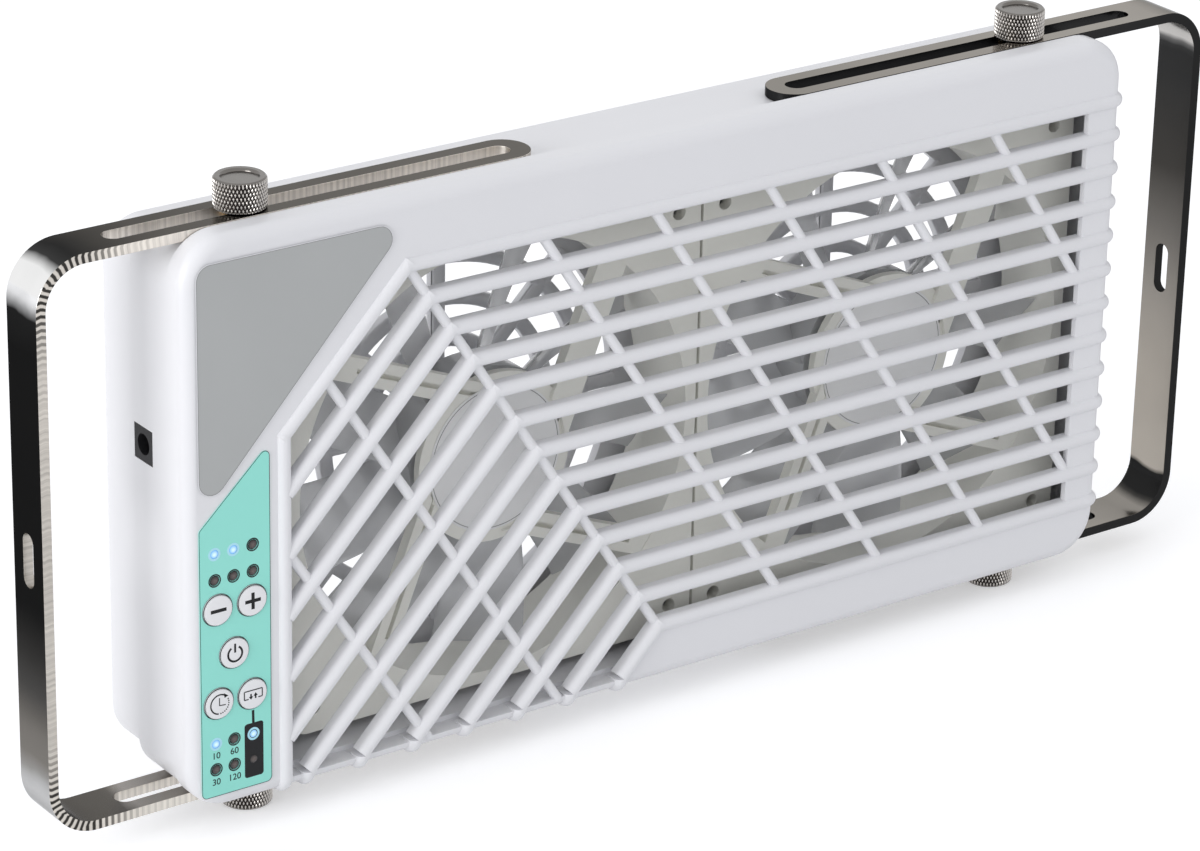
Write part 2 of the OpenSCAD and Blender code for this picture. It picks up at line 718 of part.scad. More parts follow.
// Steel core with four teeth round the bearing tube of one fan
module stator_core(cx) {
    placed() slab(rotor_y + 1.5, stator_d) translate([cx, fan_z]) difference() {
        union() {
            circle(core_r);
            for (k = [0:3]) rotate(90 * k - 22) {
                translate([0, -tooth_w / 2]) square([stator_r - stator_ring + 1, tooth_w]);
                intersection() {
                    difference() {
                        circle(stator_r);
                        circle(stator_r - stator_ring);
                    }
                    translate([core_r + 1, -core_r]) square([core_r + 1, 2 * core_r]);
                }
            }
        }
        circle(tube_core_r + 0.05);
    }
}

// Stator core of the left fan
module left_stator_core() {
    color("gray") stator_core(fan_xs[0]);
}

// Stator core of the right fan
module right_stator_core() {
    color("gray") stator_core(fan_xs[1]);
}

// Four copper coils on the teeth of one fan
module stator_coils(cx) {
    placed() translate([cx, 0, fan_z]) for (k = [0:3]) rotate([0, 90 * k + 22, 0])
        translate([core_r + 1, rotor_y + coil_gap, 0]) difference() {
            translate([0, 0, -coil_gap - coil_t * 2 - tooth_w / 2 + 0.4])
                cube([stator_r - stator_ring - core_r - 2.2, stator_d + 2 * coil_t,
                    tooth_w + 4 * coil_t - 0.6]);
            translate([-1, coil_t, -tooth_w / 2]) cube([core_r, stator_d, tooth_w]);
        }
}

// Coils of the left fan
module left_stator_coils() {
    color("peru") stator_coils(fan_xs[0]);
}

// Coils of the right fan
module right_stator_coils() {
    color("peru") stator_coils(fan_xs[1]);
}

// Round circuit board of one fan
module motor_board(cx) {
    placed() ring(cx, fan_z, hub_y + hub_base_t + 0.3, hub_y + hub_base_t + 1.5, cup_r - 2, tube_core_r);
}

// Motor board of the left fan
module left_motor_board() {
    color("green") motor_board(fan_xs[0]);
}

// Motor board of the right fan
module right_motor_board() {
    color("green") motor_board(fan_xs[1]);
}

// Bare round sticker on the left hub
module left_hub_sticker() {
    color("white") placed() rod(fan_xs[0], fan_z, hub_y - 0.3, hub_y, sticker_r);
}

// Bare round sticker on the right hub
module right_hub_sticker() {
    color("white") placed() rod(fan_xs[1], fan_z, hub_y - 0.3, hub_y, sticker_r);
}

// Lead swept along points p
module lead(p) {
    n = len(p);
    rings = [for (i = [0:n - 1]) let (d = run_dir(p, i), a = unit(cross(d, [0, 1, 0])), b = cross(a, d))
        for (k = [0:7]) p[i] + lead_r * (cos(45 * k) * a + sin(45 * k) * b)];
    sides = [for (i = [0:n - 2]) for (k = [0:7]) let (l = (k + 1) % 8)
        for (f = [[8 * i + k, 8 * i + l, 8 * i + 8 + l], [8 * i + k, 8 * i + 8 + l, 8 * i + 8 + k]]) f];
    polyhedron(rings, concat(sides, [[for (k = [7:-1:0]) k], [for (k = [0:7]) 8 * (n - 1) + k]]));
}

// Lead of the left fan, from its motor board to the circuit board
module left_fan_lead() {
    color("dimgray") placed() lead(left_lead_pts);
}

// Lead of the right fan, from its motor board to the circuit board
module right_fan_lead() {
    color("dimgray") placed() lead(right_lead_pts);
}

// Lead from the power inlet to the circuit board
module inlet_lead() {
    color("dimgray") placed() lead(inlet_lead_pts);
}

// Impeller of one fan: closed hub with flat pitched blades
module impeller(cx) {
    placed() translate([cx, 0, fan_z]) difference() {
        union() {
            rod(0, 0, rotor_y, rotor_back, hub_r);
            intersection() {
                rod(0, 0, rotor_y, rotor_y + blade_l, bore_r - tip_gap);
                union() for (k = [0:blades - 1]) rotate([0, 360 / blades * k, 0])
                    translate([hub_r - 1.5, rotor_y + blade_l / 2, 0]) rotate([blade_a, 0, 0])
                        translate([0, -blade_t / 2, -blade_chord / 2]) cube([bore_r, blade_t, blade_chord]);
            }
        }
        rod(0, 0, rotor_y - 1, rotor_back - 1.5, cup_r);
        rod(0, 0, rotor_y - 1, rotor_back + 1, shaft_r);
    }
}

// Impeller of the left fan
module left_impeller() {
    color("lightgray") impeller(fan_xs[0]);
}

// Impeller of the right fan
module right_impeller() {
    color("lightgray") impeller(fan_xs[1]);
}

// Steel cup inside one impeller hub
module rotor_cup(cx) {
    placed() difference() {
        rod(cx, fan_z, rotor_y + 0.3, rotor_back - 1.5, cup_r);
        rod(cx, fan_z, rotor_y, rotor_back - 1.5 - cup_t, cup_r - cup_t);
        rod(cx, fan_z, rotor_y, rotor_back, shaft_r);
    }
}

// Rotor cup of the left fan
module left_rotor_cup() {
    color("gray") rotor_cup(fan_xs[0]);
}

// Rotor cup of the right fan
module right_rotor_cup() {
    color("gray") rotor_cup(fan_xs[1]);
}

// Ring magnet of the left fan
module left_rotor_magnet() {
    color("black") placed() ring(fan_xs[0], fan_z, rotor_y + 1.5, rotor_y + 10.5, cup_r - cup_t, magnet_in);
}

// Ring magnet of the right fan
module right_rotor_magnet() {
    color("black") placed() ring(fan_xs[1], fan_z, rotor_y + 1.5, rotor_y + 10.5, cup_r - cup_t, magnet_in);
}

// Shaft of the left fan
module left_shaft() {
    color("silver") placed() rod(fan_xs[0], fan_z, hub_y + 1.5, rotor_back, shaft_r);
}

// Shaft of the right fan
module right_shaft() {
    color("silver") placed() rod(fan_xs[1], fan_z, hub_y + 1.5, rotor_back, shaft_r);
}

// Clip on the front end of the left shaft
module left_shaft_clip() {
    color("gray") placed() ring(fan_xs[0], fan_z, hub_y + 2, hub_y + 2.6, 3.2, shaft_r);
}

// Clip on the front end of the right shaft
module right_shaft_clip() {
    color("gray") placed() ring(fan_xs[1], fan_z, hub_y + 2, hub_y + 2.6, 3.2, shaft_r);
}

// Flat slotted arm of a bracket, s is the side along the casing, z the height of its lower face
module bracket_arm(s, z) {
    translate([0, strip_mid, z]) linear_extrude(strip_t) difference() {
        union() {
            translate([s > 0 ? arm_tip + strip_w / 2 : bend_r - span_w / 2, -strip_w / 2])
                square([span_w / 2 - bend_r - arm_tip - strip_w / 2, strip_w]);
            translate([s * (arm_tip + strip_w / 2), 0]) circle(strip_w / 2);
        }
        translate([s > 0 ? slot_in + slot_w / 2 : slot_w / 2 - slot_out, -slot_w / 2])
            square([slot_out - slot_in - slot_w, slot_w]);
        for (x = [slot_in + slot_w / 2, slot_out - slot_w / 2]) translate([s * x, 0]) circle(slot_w / 2);
    }
}

// Steel strip bent to a U, with slotted arms and a slotted web
module bracket(s) {
    web_x = s > 0 ? span_w / 2 - strip_t : -span_w / 2;
    placed() {
        bracket_arm(s, arm_z);
        bracket_arm(s, -arm_top);
        for (z = [-1, 1]) translate([s * (span_w / 2 - bend_r), strip_mid - strip_w / 2, z * (arm_top - bend_r)])
            rotate([-90, 0, 0]) rotate([0, 0, z > 0 ? (s > 0 ? -90 : 180) : (s > 0 ? 0 : 90)])
                rotate_extrude(angle = 90) translate([bend_r - strip_t, 0]) square([strip_t, strip_w]);
        difference() {
            translate([web_x, strip_y, bend_r - arm_top]) cube([strip_t, strip_w, 2 * (arm_top - bend_r)]);
            for (z = [-1, 1]) translate([web_x - 1, strip_mid, web_slot_z + z * (web_slot_l - web_slot_w) / 2])
                rotate([0, 90, 0]) cylinder(h = strip_t + 2, r = web_slot_w / 2);
            translate([web_x - 1, strip_mid - web_slot_w / 2, web_slot_z - (web_slot_l - web_slot_w) / 2])
                cube([strip_t + 2, web_slot_w, web_slot_l - web_slot_w]);
        }
    }
}

// Left bracket
module left_bracket() {
    color("silver") bracket(-1);
}

// Right bracket
module right_bracket() {
    color("silver") bracket(1);
}

// Screw with a knurled head that clamps a bracket arm, s and t are its side and its height side
module thumb_screw(s, t) {
    shank_l = head_z - ledge_z + insert_l - 0.2;
    placed() translate([s * screw_x, strip_mid, t * head_z]) rotate([t > 0 ? 0 : 180, 0, 0])
        rotate_extrude() polygon([[0, -shank_l], [shank_r, -shank_l], [shank_r, 0], [head_r - head_ch, 0],
            [head_r, head_ch], [head_r, head_h - head_ch], [head_r - head_ch, head_h], [dish_r, head_h],
            [dish_r - 0.5, head_h - dish_d], [0, head_h - dish_d]]);
}

// Thumb screw at the top left
module top_left_screw() {
    color("silver") thumb_screw(-1, 1);
}

// Thumb screw at the top right
module top_right_screw() {
    color("silver") thumb_screw(1, 1);
}

// Thumb screw at the bottom left
module bottom_left_screw() {
    color("silver") thumb_screw(-1, -1);
}

// Thumb screw at the bottom right
module bottom_right_screw() {
    color("silver") thumb_screw(1, -1);
}

// Round button with its collar and stem
module button(p) {
    placed() {
        rod(p[0], p[1], -button_proud, wall + 1.1, button_r);
        rod(p[0], p[1], wall + 0.3, wall + 1.1, collar_r);
        rod(p[0], p[1], wall + 1.1, plunger_y - button_stroke - 0.1, 2);
    }
}

// Button that lowers the speed
module minus_button() {
    color("white") button(button_at[0]);
}

// Button that raises the speed
module plus_button() {
    color("white") button(button_at[1]);
}

// Power button
module power_button() {
    color("white") button(button_at[2]);
}

// Timer button
module timer_button() {
    color("white") button(button_at[3]);
}

// Air direction button
module airflow_button() {
    color("white") button(button_at[4]);
}

front_cover();
rear_shell();
badge_plate();
control_label();
control_board();
board_screws();
tact_switches();
speed_lights();
timer_lights();
airflow_lights();
remote_receiver();
inlet_body();
inlet_pin();
thread_inserts();
case_screws();
fan_screws();
left_fan_frame();
right_fan_frame();
left_bearings();
right_bearings();
left_stator_core();
right_stator_core();
left_stator_coils();
right_stator_coils();
left_motor_board();
right_motor_board();
left_hub_sticker();
right_hub_sticker();
left_fan_lead();
right_fan_lead();
inlet_lead();
left_impeller();
right_impeller();
left_rotor_cup();
right_rotor_cup();
left_rotor_magnet();
right_rotor_magnet();
left_shaft();
right_shaft();
left_shaft_clip();
right_shaft_clip();
left_bracket();
right_bracket();
top_left_screw();
top_right_screw();
bottom_left_screw();
bottom_right_screw();
minus_button();
plus_button();
power_button();
timer_button();
airflow_button();
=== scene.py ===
import bmesh
import bpy
import numpy as np
from mathutils import Matrix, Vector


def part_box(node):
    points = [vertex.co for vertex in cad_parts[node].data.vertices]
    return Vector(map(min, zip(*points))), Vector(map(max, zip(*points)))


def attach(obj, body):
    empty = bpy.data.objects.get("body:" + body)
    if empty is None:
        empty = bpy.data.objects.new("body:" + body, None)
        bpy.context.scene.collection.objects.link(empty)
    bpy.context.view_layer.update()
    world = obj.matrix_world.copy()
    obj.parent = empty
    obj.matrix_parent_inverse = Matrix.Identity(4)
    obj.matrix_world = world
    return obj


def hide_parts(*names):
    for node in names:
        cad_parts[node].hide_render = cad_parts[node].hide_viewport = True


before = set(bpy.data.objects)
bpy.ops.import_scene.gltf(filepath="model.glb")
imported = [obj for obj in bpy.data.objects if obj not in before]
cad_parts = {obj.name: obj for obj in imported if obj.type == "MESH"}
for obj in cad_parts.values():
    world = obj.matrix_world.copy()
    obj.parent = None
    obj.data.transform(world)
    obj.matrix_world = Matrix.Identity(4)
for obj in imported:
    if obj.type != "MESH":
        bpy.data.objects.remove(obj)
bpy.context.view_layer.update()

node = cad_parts

# Camera: stands to the front left and a little above the casing, and looks along the photograph's line of
# sight with a long lens. The frame is 1200 by 851.
eye = (-0.7616, -1.0376, 0.5369)
lens_right = (0.81517, -0.57888, 0.02)
lens_up = (0.21245, 0.33091, 0.91945)
lens_back = (-0.53886, -0.74525, 0.39273)
lens_data = bpy.data.cameras.new("long_lens")
lens_data.sensor_width = 36
lens_data.lens = 143.0
lens_data.clip_start = 0.05
lens_data.clip_end = 60
camera = bpy.data.objects.new("camera", lens_data)
bpy.context.scene.collection.objects.link(camera)
turn = Matrix((lens_right, lens_up, lens_back)).transposed().to_4x4()
camera.matrix_world = Matrix.Translation(eye) @ turn
bpy.context.scene.camera = camera
bpy.context.scene.view_settings.view_transform = "Standard"


# Studio: a white sweep under the object and soft light from a wide panel at the left, a weak one above
# and an even white room. The sweep and the room show white to the camera and in gloss, and shadows stay.
def add(tree, kind, given=(), **settings):
    """New node: its settings first, then each given input, a plain value or another node's output."""
    n = tree.nodes.new(kind)
    for key, value in settings.items():
        setattr(n, key, value)
    for key, value in dict(given).items():
        if isinstance(value, bpy.types.NodeSocket):
            tree.links.new(value, n.inputs[key])
        else:
            n.inputs[key].default_value = value
    return n


def maths(tree, operation, *given):
    """Result of a Math node for the given numbers and outputs."""
    return add(tree, "ShaderNodeMath", enumerate(given), operation=operation).outputs[0]


def seen_directly(tree):
    """1 where a ray comes from the camera, gloss or a clear surface, and 0 where it only lights."""
    ray = add(tree, "ShaderNodeLightPath").outputs
    direct = maths(tree, "MAXIMUM", ray["Is Camera Ray"], ray["Is Glossy Ray"])
    return maths(tree, "MAXIMUM", direct, ray["Is Transmission Ray"])


world = bpy.data.worlds.new("white_room")
bpy.context.scene.world = world
world.use_nodes = True
room = world.node_tree
room.nodes.clear()
room_light = add(room, "ShaderNodeBackground", {"Color": (0.97, 0.98, 1, 1), "Strength": 0.8})
room_white = add(room, "ShaderNodeBackground", {"Color": (1, 1, 1, 1), "Strength": 1.0})
room_parts = {"Fac": seen_directly(room), 1: room_light.outputs[0], 2: room_white.outputs[0]}
room_mix = add(room, "ShaderNodeMixShader", room_parts)
add(room, "ShaderNodeOutputWorld", {"Surface": room_mix.outputs[0]})

for name, place, size, power in (
    ("top_panel", (-0.35, -0.1, 1.35), 1.3, 0.6),
    ("left_panel", (-2.2, -0.35, 0.5), 1.2, 24.0),
):
    panel = bpy.data.lights.new(name, "AREA")
    panel.shape = "SQUARE"
    panel.size = size
    panel.energy = power
    lamp = bpy.data.objects.new(name, panel)
    bpy.context.scene.collection.objects.link(lamp)
    lamp.location = place
    lamp.rotation_mode = "QUATERNION"
    lamp.rotation_quaternion = (-lamp.location).to_track_quat("-Z", "Y")

sweep_half = 9
sweep_gap = 0.00005
sweep_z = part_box("bottom_left_screw")[0][2] - sweep_gap
sweep_signs = ((-1, -1), (1, -1), (1, 1), (-1, 1))
sweep_points = [(u * sweep_half, v * sweep_half, sweep_z) for u, v in sweep_signs]
sweep_mesh = bpy.data.meshes.new("white_sweep")
sweep_mesh.from_pydata(sweep_points, [], [(0, 1, 2, 3)])
sweep = bpy.data.objects.new("white_sweep", sweep_mesh)
bpy.context.scene.collection.objects.link(sweep)
sweep_paint = bpy.data.materials.new("white_sweep")
sweep_paint.use_nodes = True
paint = sweep_paint.node_tree
paint.nodes.clear()
sweep_skin = add(paint, "ShaderNodeBsdfDiffuse", {"Color": (0.86, 0.86, 0.87, 1)})
sweep_shine = add(paint, "ShaderNodeEmission", {"Color": (1, 1, 1, 1), "Strength": 0.35})
sweep_both = add(paint, "ShaderNodeAddShader", {0: sweep_skin.outputs[0], 1: sweep_shine.outputs[0]})
sweep_parts = {"Fac": seen_directly(paint), 1: sweep_skin.outputs[0], 2: sweep_both.outputs[0]}
sweep_mix = add(paint, "ShaderNodeMixShader", sweep_parts)
add(paint, "ShaderNodeOutputMaterial", {"Surface": sweep_mix.outputs[0]})
sweep_mesh.materials.append(sweep_paint)


# Front cover: one white ABS moulding with its grille of rounded ribs, screwed to the rear shell. The mould
# leaves a fine satin grain, and the plastic is a touch darker in broad soft clouds.
def grain_group():
    """Shared skin: fine noise bumps the surface, broad noise shades the colour and the roughness a little."""
    g = bpy.data.node_groups.new("skin_grain", "ShaderNodeTree")
    for title, kind, value in (
        ("Colour", "Color", (0.8, 0.8, 0.8, 1)),
        ("Cloud Colour", "Color", (0.7, 0.7, 0.7, 1)),
        ("Cloud Size", "Float", 14.0),
        ("Grain Size", "Float", 1400.0),
        ("Grain Depth", "Float", 0.1),
        ("Rough", "Float", 0.35),
        ("Rough Spread", "Float", 0.08),
    ):
        g.interface.new_socket(title, in_out="INPUT", socket_type="NodeSocket" + kind).default_value = value
    for title, kind in (("Colour", "Color"), ("Rough", "Float"), ("Normal", "Vector")):
        g.interface.new_socket(title, in_out="OUTPUT", socket_type="NodeSocket" + kind)
    given = add(g, "NodeGroupInput").outputs
    spot = add(g, "ShaderNodeTexCoord").outputs["Object"]
    clouds = add(g, "ShaderNodeTexNoise", {"Vector": spot, "Scale": given["Cloud Size"], "Detail": 3.0})
    cloud = clouds.outputs["Fac"]
    fine = add(g, "ShaderNodeTexNoise", {"Vector": spot, "Scale": given["Grain Size"], "Detail": 2.0})
    blend = add(g, "ShaderNodeMix", {"Factor": cloud, "A": given["Colour"], "B": given["Cloud Colour"]},
                data_type="RGBA")
    rough = maths(g, "MULTIPLY_ADD", maths(g, "SUBTRACT", cloud, 0.5), given["Rough Spread"], given["Rough"])
    depths = {"Height": fine.outputs["Fac"], "Strength": given["Grain Depth"], "Distance": 0.0003}
    bump = add(g, "ShaderNodeBump", depths).outputs["Normal"]
    add(g, "NodeGroupOutput", {"Colour": blend.outputs["Result"], "Rough": rough, "Normal": bump})
    return g


skin_grain = grain_group()


def finish(name, colour, cloud, rough=0.35, grain=1400.0, depth=0.1, metal=0.0, spread=0.08, size=14.0,
           **extra):
    """Principled surface whose colour, roughness and normal come from the shared skin."""
    m = bpy.data.materials.new(name)
    m.use_nodes = True
    t = m.node_tree
    skin = t.nodes.new("ShaderNodeGroup")
    skin.node_tree = skin_grain
    skin.name = "skin"
    for title, value in (
        ("Colour", (*colour, 1)), ("Cloud Colour", (*cloud, 1)), ("Cloud Size", size), ("Grain Size", grain),
        ("Grain Depth", depth), ("Rough", rough), ("Rough Spread", spread),
    ):
        skin.inputs[title].default_value = value
    face = t.nodes["Principled BSDF"]
    face.inputs["Metallic"].default_value = metal
    for socket, value in extra.items():
        face.inputs[socket.replace("_", " ")].default_value = value
    for given, taken in (("Colour", "Base Color"), ("Rough", "Roughness"), ("Normal", "Normal")):
        t.links.new(skin.outputs[given], face.inputs[taken])
    return m


def rounding_group():
    """Geometry nodes: joins the loose triangles and keeps an edge hard only above about 31 degrees."""
    g = bpy.data.node_groups.new("soft_rounds", "GeometryNodeTree")
    for way in ("INPUT", "OUTPUT"):
        g.interface.new_socket("Geometry", in_out=way, socket_type="NodeSocketGeometry")
    loose = add(g, "NodeGroupInput").outputs[0]
    merged = add(g, "GeometryNodeMergeByDistance", {"Geometry": loose, "Distance": 0.0000005}).outputs[0]
    smooth = add(g, "GeometryNodeSetShadeSmooth", {"Geometry": merged}, domain="FACE").outputs[0]
    angle = add(g, "GeometryNodeInputMeshEdgeAngle").outputs["Unsigned Angle"]
    soft = maths(g, "LESS_THAN", angle, 0.55)
    edged = add(g, "GeometryNodeSetShadeSmooth", {"Geometry": smooth, "Shade Smooth": soft}, domain="EDGE")
    add(g, "NodeGroupOutput", {0: edged.outputs[0]})
    return g


soft_rounds = rounding_group()


def dress(name, surface):
    """Gives a CAD node its surface, with smooth rounds and flat faces that stay flat."""
    piece = node[name]
    piece.data.materials.clear()
    piece.data.materials.append(surface)
    piece.modifiers.new("soft_rounds", "NODES").node_group = soft_rounds
    piece.modifiers.new("flat_faces", "WEIGHTED_NORMAL").keep_sharp = True


white_abs = finish("white_abs", (0.80, 0.80, 0.825), (0.77, 0.77, 0.795), 0.38, 1800.0, 0.06)
dress("front_cover", white_abs)

# Rear shell: the white back half of the casing, with a guard of rings and spokes moulded behind each fan.
# It is made of the same plastic as the cover.
dress("rear_shell", white_abs)

# Badge plate: thin grey plate set flush at the upper left, in satin silver-grey paint with a fine metallic
# Its face is bare, with a painted shadow line and a painted highlight line round it where it meets the cover.
mm = 0.001
least_gap = 0.0000008
crease = 0.6
hairline = 0.16
badge_paint = finish("badge_paint", (0.43, 0.44, 0.44), (0.39, 0.40, 0.40), 0.42, 5200.0, 0.12, 0.15, 0.1,
                     22.0)
line_grey = finish("line_grey", (0.25, 0.255, 0.26), (0.28, 0.285, 0.29), 0.5, 4000.0, 0.03)
dress("badge_plate", badge_paint)


def span(name):
    """A node's lowest and highest corners at rest, in millimetres and to the hundredth."""
    return [[round(v / mm, 2) for v in corner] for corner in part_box(name)]


face_y = span("badge_plate")[1][1]


def new_piece(name, shape, surface, body, *stands_for):
    """Piece from points in millimetres, doubles merged and faces turned outwards, that rides on a body."""
    points, faces = shape
    mesh = bpy.data.meshes.new(name)
    mesh.from_pydata((np.asarray(points, float) * mm).tolist(), [], [tuple(f) for f in faces])
    b = bmesh.new()
    b.from_mesh(mesh)
    bmesh.ops.remove_doubles(b, verts=b.verts, dist=least_gap)
    bmesh.ops.recalc_face_normals(b, faces=b.faces)
    b.to_mesh(mesh)
    b.free()
    mesh.shade_smooth()
    mesh.set_sharp_from_angle(angle=crease)
    mesh.materials.append(surface)
    piece = bpy.data.objects.new(name, mesh)
    bpy.context.scene.collection.objects.link(piece)
    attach(piece, body)
    if stands_for:
        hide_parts(*stands_for)
    return piece


def grid_faces(rows, cols):
    """Four-sided faces of a grid of points stored row by row, closed round each row."""
    c = np.arange(cols)
    r = np.arange(rows - 1)[:, None] * cols
    d = (c + 1) % cols
    return np.stack([r + c, r + d, r + cols + d, r + cols + c], -1).reshape(-1, 4).tolist()


def stroke(path, width, front, back, loop=False):
    """Printed line: a flat bar of the given width along points (x, z), between two depths."""
    p = np.asarray(path, float)
    d = np.roll(p, -1, 0) - np.roll(p, 1, 0) if loop else np.gradient(p, axis=0)
    n = np.stack([-d[:, 1], d[:, 0]], -1) / np.linalg.norm(d, axis=1)[:, None] * width / 2
    corners = [(p + n, front), (p - n, front), (p - n, back), (p + n, back)]
    points = np.stack([np.stack([q[:, 0], np.full(len(q), y), q[:, 1]], -1) for q, y in corners], 1)
    if loop:
        points = np.concatenate([points, points[:1]])
    faces = grid_faces(len(points), 4)
    if not loop:
        last = 4 * len(p) - 4
        faces += [[0, 1, 2, 3], [last, last + 1, last + 2, last + 3]]
    return points.reshape(-1, 3), faces


def arc(x, z, radius, start, end, count=32):
    """Points on a circle from one angle to another, in degrees from the right, turning up."""
    a = np.radians(np.linspace(start, end, count))
    return np.stack([x + radius * np.cos(a), z + radius * np.sin(a)], -1)


def blob_line(corners, radius, count=9):
    """Outline of a convex shape, counter-clockwise, with round corners outside its points."""
    c = np.asarray(corners, float)
    line = []
    for i in range(len(c)):
        a = np.degrees(np.arctan2(*(c[i] - c[i - 1])[::-1])) - 90
        b = np.degrees(np.arctan2(*(c[(i + 1) % len(c)] - c[i])[::-1])) - 90
        line.append(arc(c[i][0], c[i][1], radius, a, a + (b - a) % 360, count))
    return np.concatenate(line)


# badge_line is the painted shadow line and badge_glint the painted highlight line round the plate.
badge_corners = ((-156.4, 15.5), (-103, 73.7), (-156.4, 73.7))
for name, radius, surface in (("badge_line", 4.25, line_grey), ("badge_glint", 4.45, white_abs)):
    outline = stroke(blob_line(badge_corners, radius), hairline, face_y - 0.53, face_y - 0.45, True)
    new_piece(name, outline, surface, "casing")

# Control label: teal film with a satin face under the white buttons. Figures, rings round the lights, one
# dark patch and a fine outline are printed on it in black, and round the lit lights pale blue rings are their
# painted glow.
teal_film = finish("teal_film", (0.31, 0.80, 0.70), (0.295, 0.76, 0.67), 0.4, 2600.0, 0.04)
black_ink = finish("black_ink", (0.010, 0.010, 0.012), (0.015, 0.015, 0.017), 0.5, 4000.0, 0.03,
                   Specular_IOR_Level=0.2)
halo_glow_paint = finish("halo_glow_paint", (0.45, 0.80, 0.93), (0.42, 0.77, 0.91), 0.3, 2600.0, 0.02)
film_y = face_y - 0.3
print_y = film_y - 0.03
sunk_y = film_y + 0.02
dress("control_label", teal_film)


def joined(*shapes):
    """One pair of points and faces from several, each face list moved on by the points before it."""
    points, faces, start = [], [], 0
    for p, f in shapes:
        points.append(np.asarray(p, float))
        faces += [tuple(int(i) + start for i in q) for q in f]
        start += len(p)
    return np.concatenate(points), faces


def turned(profile, x, z, steps=48):
    """Profile of (radius, depth) swept round the axis along the depth through (x, z)."""
    p = np.asarray(profile, float)
    a = np.linspace(0, 2 * np.pi, steps, endpoint=False)
    r = p[:, :1]
    points = np.stack([x + r * np.cos(a), np.repeat(p[:, 1:], steps, 1), z + r * np.sin(a)], -1)
    return points.reshape(-1, 3), grid_faces(len(p), steps)


def ring(x, z, inner, outer, front, back, steps=48):
    """Flat ring between two radii and two depths."""
    return turned([(inner, front), (outer, front), (outer, back), (inner, back), (inner, front)], x, z, steps)


def disc(x, z, radius, front, back, steps=32):
    """Printed dot: a low cylinder along the depth."""
    return turned([(0, front), (radius, front), (radius, back), (0, back)], x, z, steps)


def plate(outline, front, back):
    """Printed patch: the outline (x, z) filled flat between two depths."""
    p = np.asarray(outline, float)
    n = len(p)
    points = np.concatenate([np.stack([p[:, 0], np.full(n, y), p[:, 1]], -1) for y in (front, back)])
    sides = [[i, (i + 1) % n, n + (i + 1) % n, n + i] for i in range(n)]
    return points, sides + [list(range(n)), list(range(2 * n - 1, n - 1, -1))]


def soft_box(x0, x1, z0, z1, radius):
    """Outline of a rectangle with round corners."""
    spots = ((x1 - radius, z1 - radius, 0), (x0 + radius, z1 - radius, 90), (x0 + radius, z0 + radius, 180),
             (x1 - radius, z0 + radius, 270))
    return np.concatenate([arc(x, z, radius, a, a + 90, 9) for x, z, a in spots])


def points_of(mesh, scale=1 / mm):
    """Positions of a mesh's points, one row each, in millimetres unless another scale is given."""
    p = np.empty(3 * len(mesh.vertices), np.float32)
    mesh.vertices.foreach_get("co", p)
    return p.reshape(-1, 3).astype(float) * scale


font_share = 1.38


def figures(text, x, z, height, front, back):
    """Plain figures centred on (x, z), filled flat between two depths, in the built-in font."""
    curve = bpy.data.curves.new("figures", "FONT")
    curve.body = text
    curve.size = height * font_share
    curve.align_x = "CENTER"
    curve.align_y = "CENTER"
    curve.extrude = 1.0
    curve.offset = 0.02
    piece = bpy.data.objects.new("figures", curve)
    mesh = bpy.data.meshes.new_from_object(piece)
    p = points_of(mesh, 1.0)
    f = [tuple(q.vertices) for q in mesh.polygons]
    p = np.stack([x + p[:, 0], np.where(p[:, 2] > 0, front, back), z + p[:, 1]], -1)
    bpy.data.objects.remove(piece)
    bpy.data.meshes.remove(mesh)
    bpy.data.curves.remove(curve)
    return p, f


label_corners = ((-159.3, -78.8), (-139.9, -78.8), (-139.9, 18.8), (-159.3, 0.5))
dark_lights = ((-143.9, -6.5), (-156.1, -14.4), (-150.1, -14.4), (-143.9, -14.4), (-150.4, -64.2),
               (-156.3, -72.1), (-150.4, -72.1))
lit_lights = ((-156.1, -6.5), (-150.1, -6.5), (-156.3, -64.2), (-144.2, -64.2))
minutes = (("10", -156.3, -67.9), ("60", -150.4, -67.9), ("30", -156.3, -76.0), ("120", -150.4, -76.0))
dark_ring = (1.62, 2.0)
halo_ring = (1.3, 1.95)
figure_high = 2.0
label_print = [stroke(blob_line(label_corners, 1.55), hairline, print_y, sunk_y, True)]
label_print += [ring(x, z, *dark_ring, print_y, sunk_y) for x, z in dark_lights]
label_print += [figures(text, x, z, figure_high, print_y, sunk_y) for text, x, z in minutes]
label_print.append(stroke([(-144.3, -56.9), (-144.2, -61.2)], 0.8, print_y, sunk_y))
new_piece("label_print", joined(*label_print), black_ink, "casing")
airflow_patch = soft_box(-147.1, -141.0, -77.5, -60.8, 0.9)
new_piece("airflow_patch", plate(airflow_patch, film_y - 0.02, sunk_y), black_ink, "casing")
# Pale blue rings round the lit lights: their glow painted on the film.
halos = [ring(x, z, *halo_ring, print_y, sunk_y) for x, z in lit_lights]
new_piece("light_halos", joined(*halos), halo_glow_paint, "casing")

# Guard bars: the rings and the spokes behind each fan have round fronts, in the same white plastic.
# Both fans' axes lie at the same height, in the middle of their frames.
def middle(name):
    """Middle of a node's box at rest, in millimetres and to the hundredth."""
    low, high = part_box(name)
    return [round((a + b) / 2 / mm, 2) for a, b in zip(low, high)]


fan_x = {side: middle(side + "_fan_frame")[0] for side in ("left", "right")}
fan_z = middle("left_fan_frame")[2]
bar_half = 2.2
bar_front = face_y + 43.1
bar_arc = np.linspace(0, np.pi, 11)
bar_profile = [(bar_half * np.cos(t), bar_front - 1.2 * np.sin(t)) for t in bar_arc]
bar_profile += [(-bar_half, bar_front + 0.5), (bar_half, bar_front + 0.5)]
ring_radii = (25.6, 38.4, 51.2)
spoke_ends = (14.0, 62.4)
spokes = 8


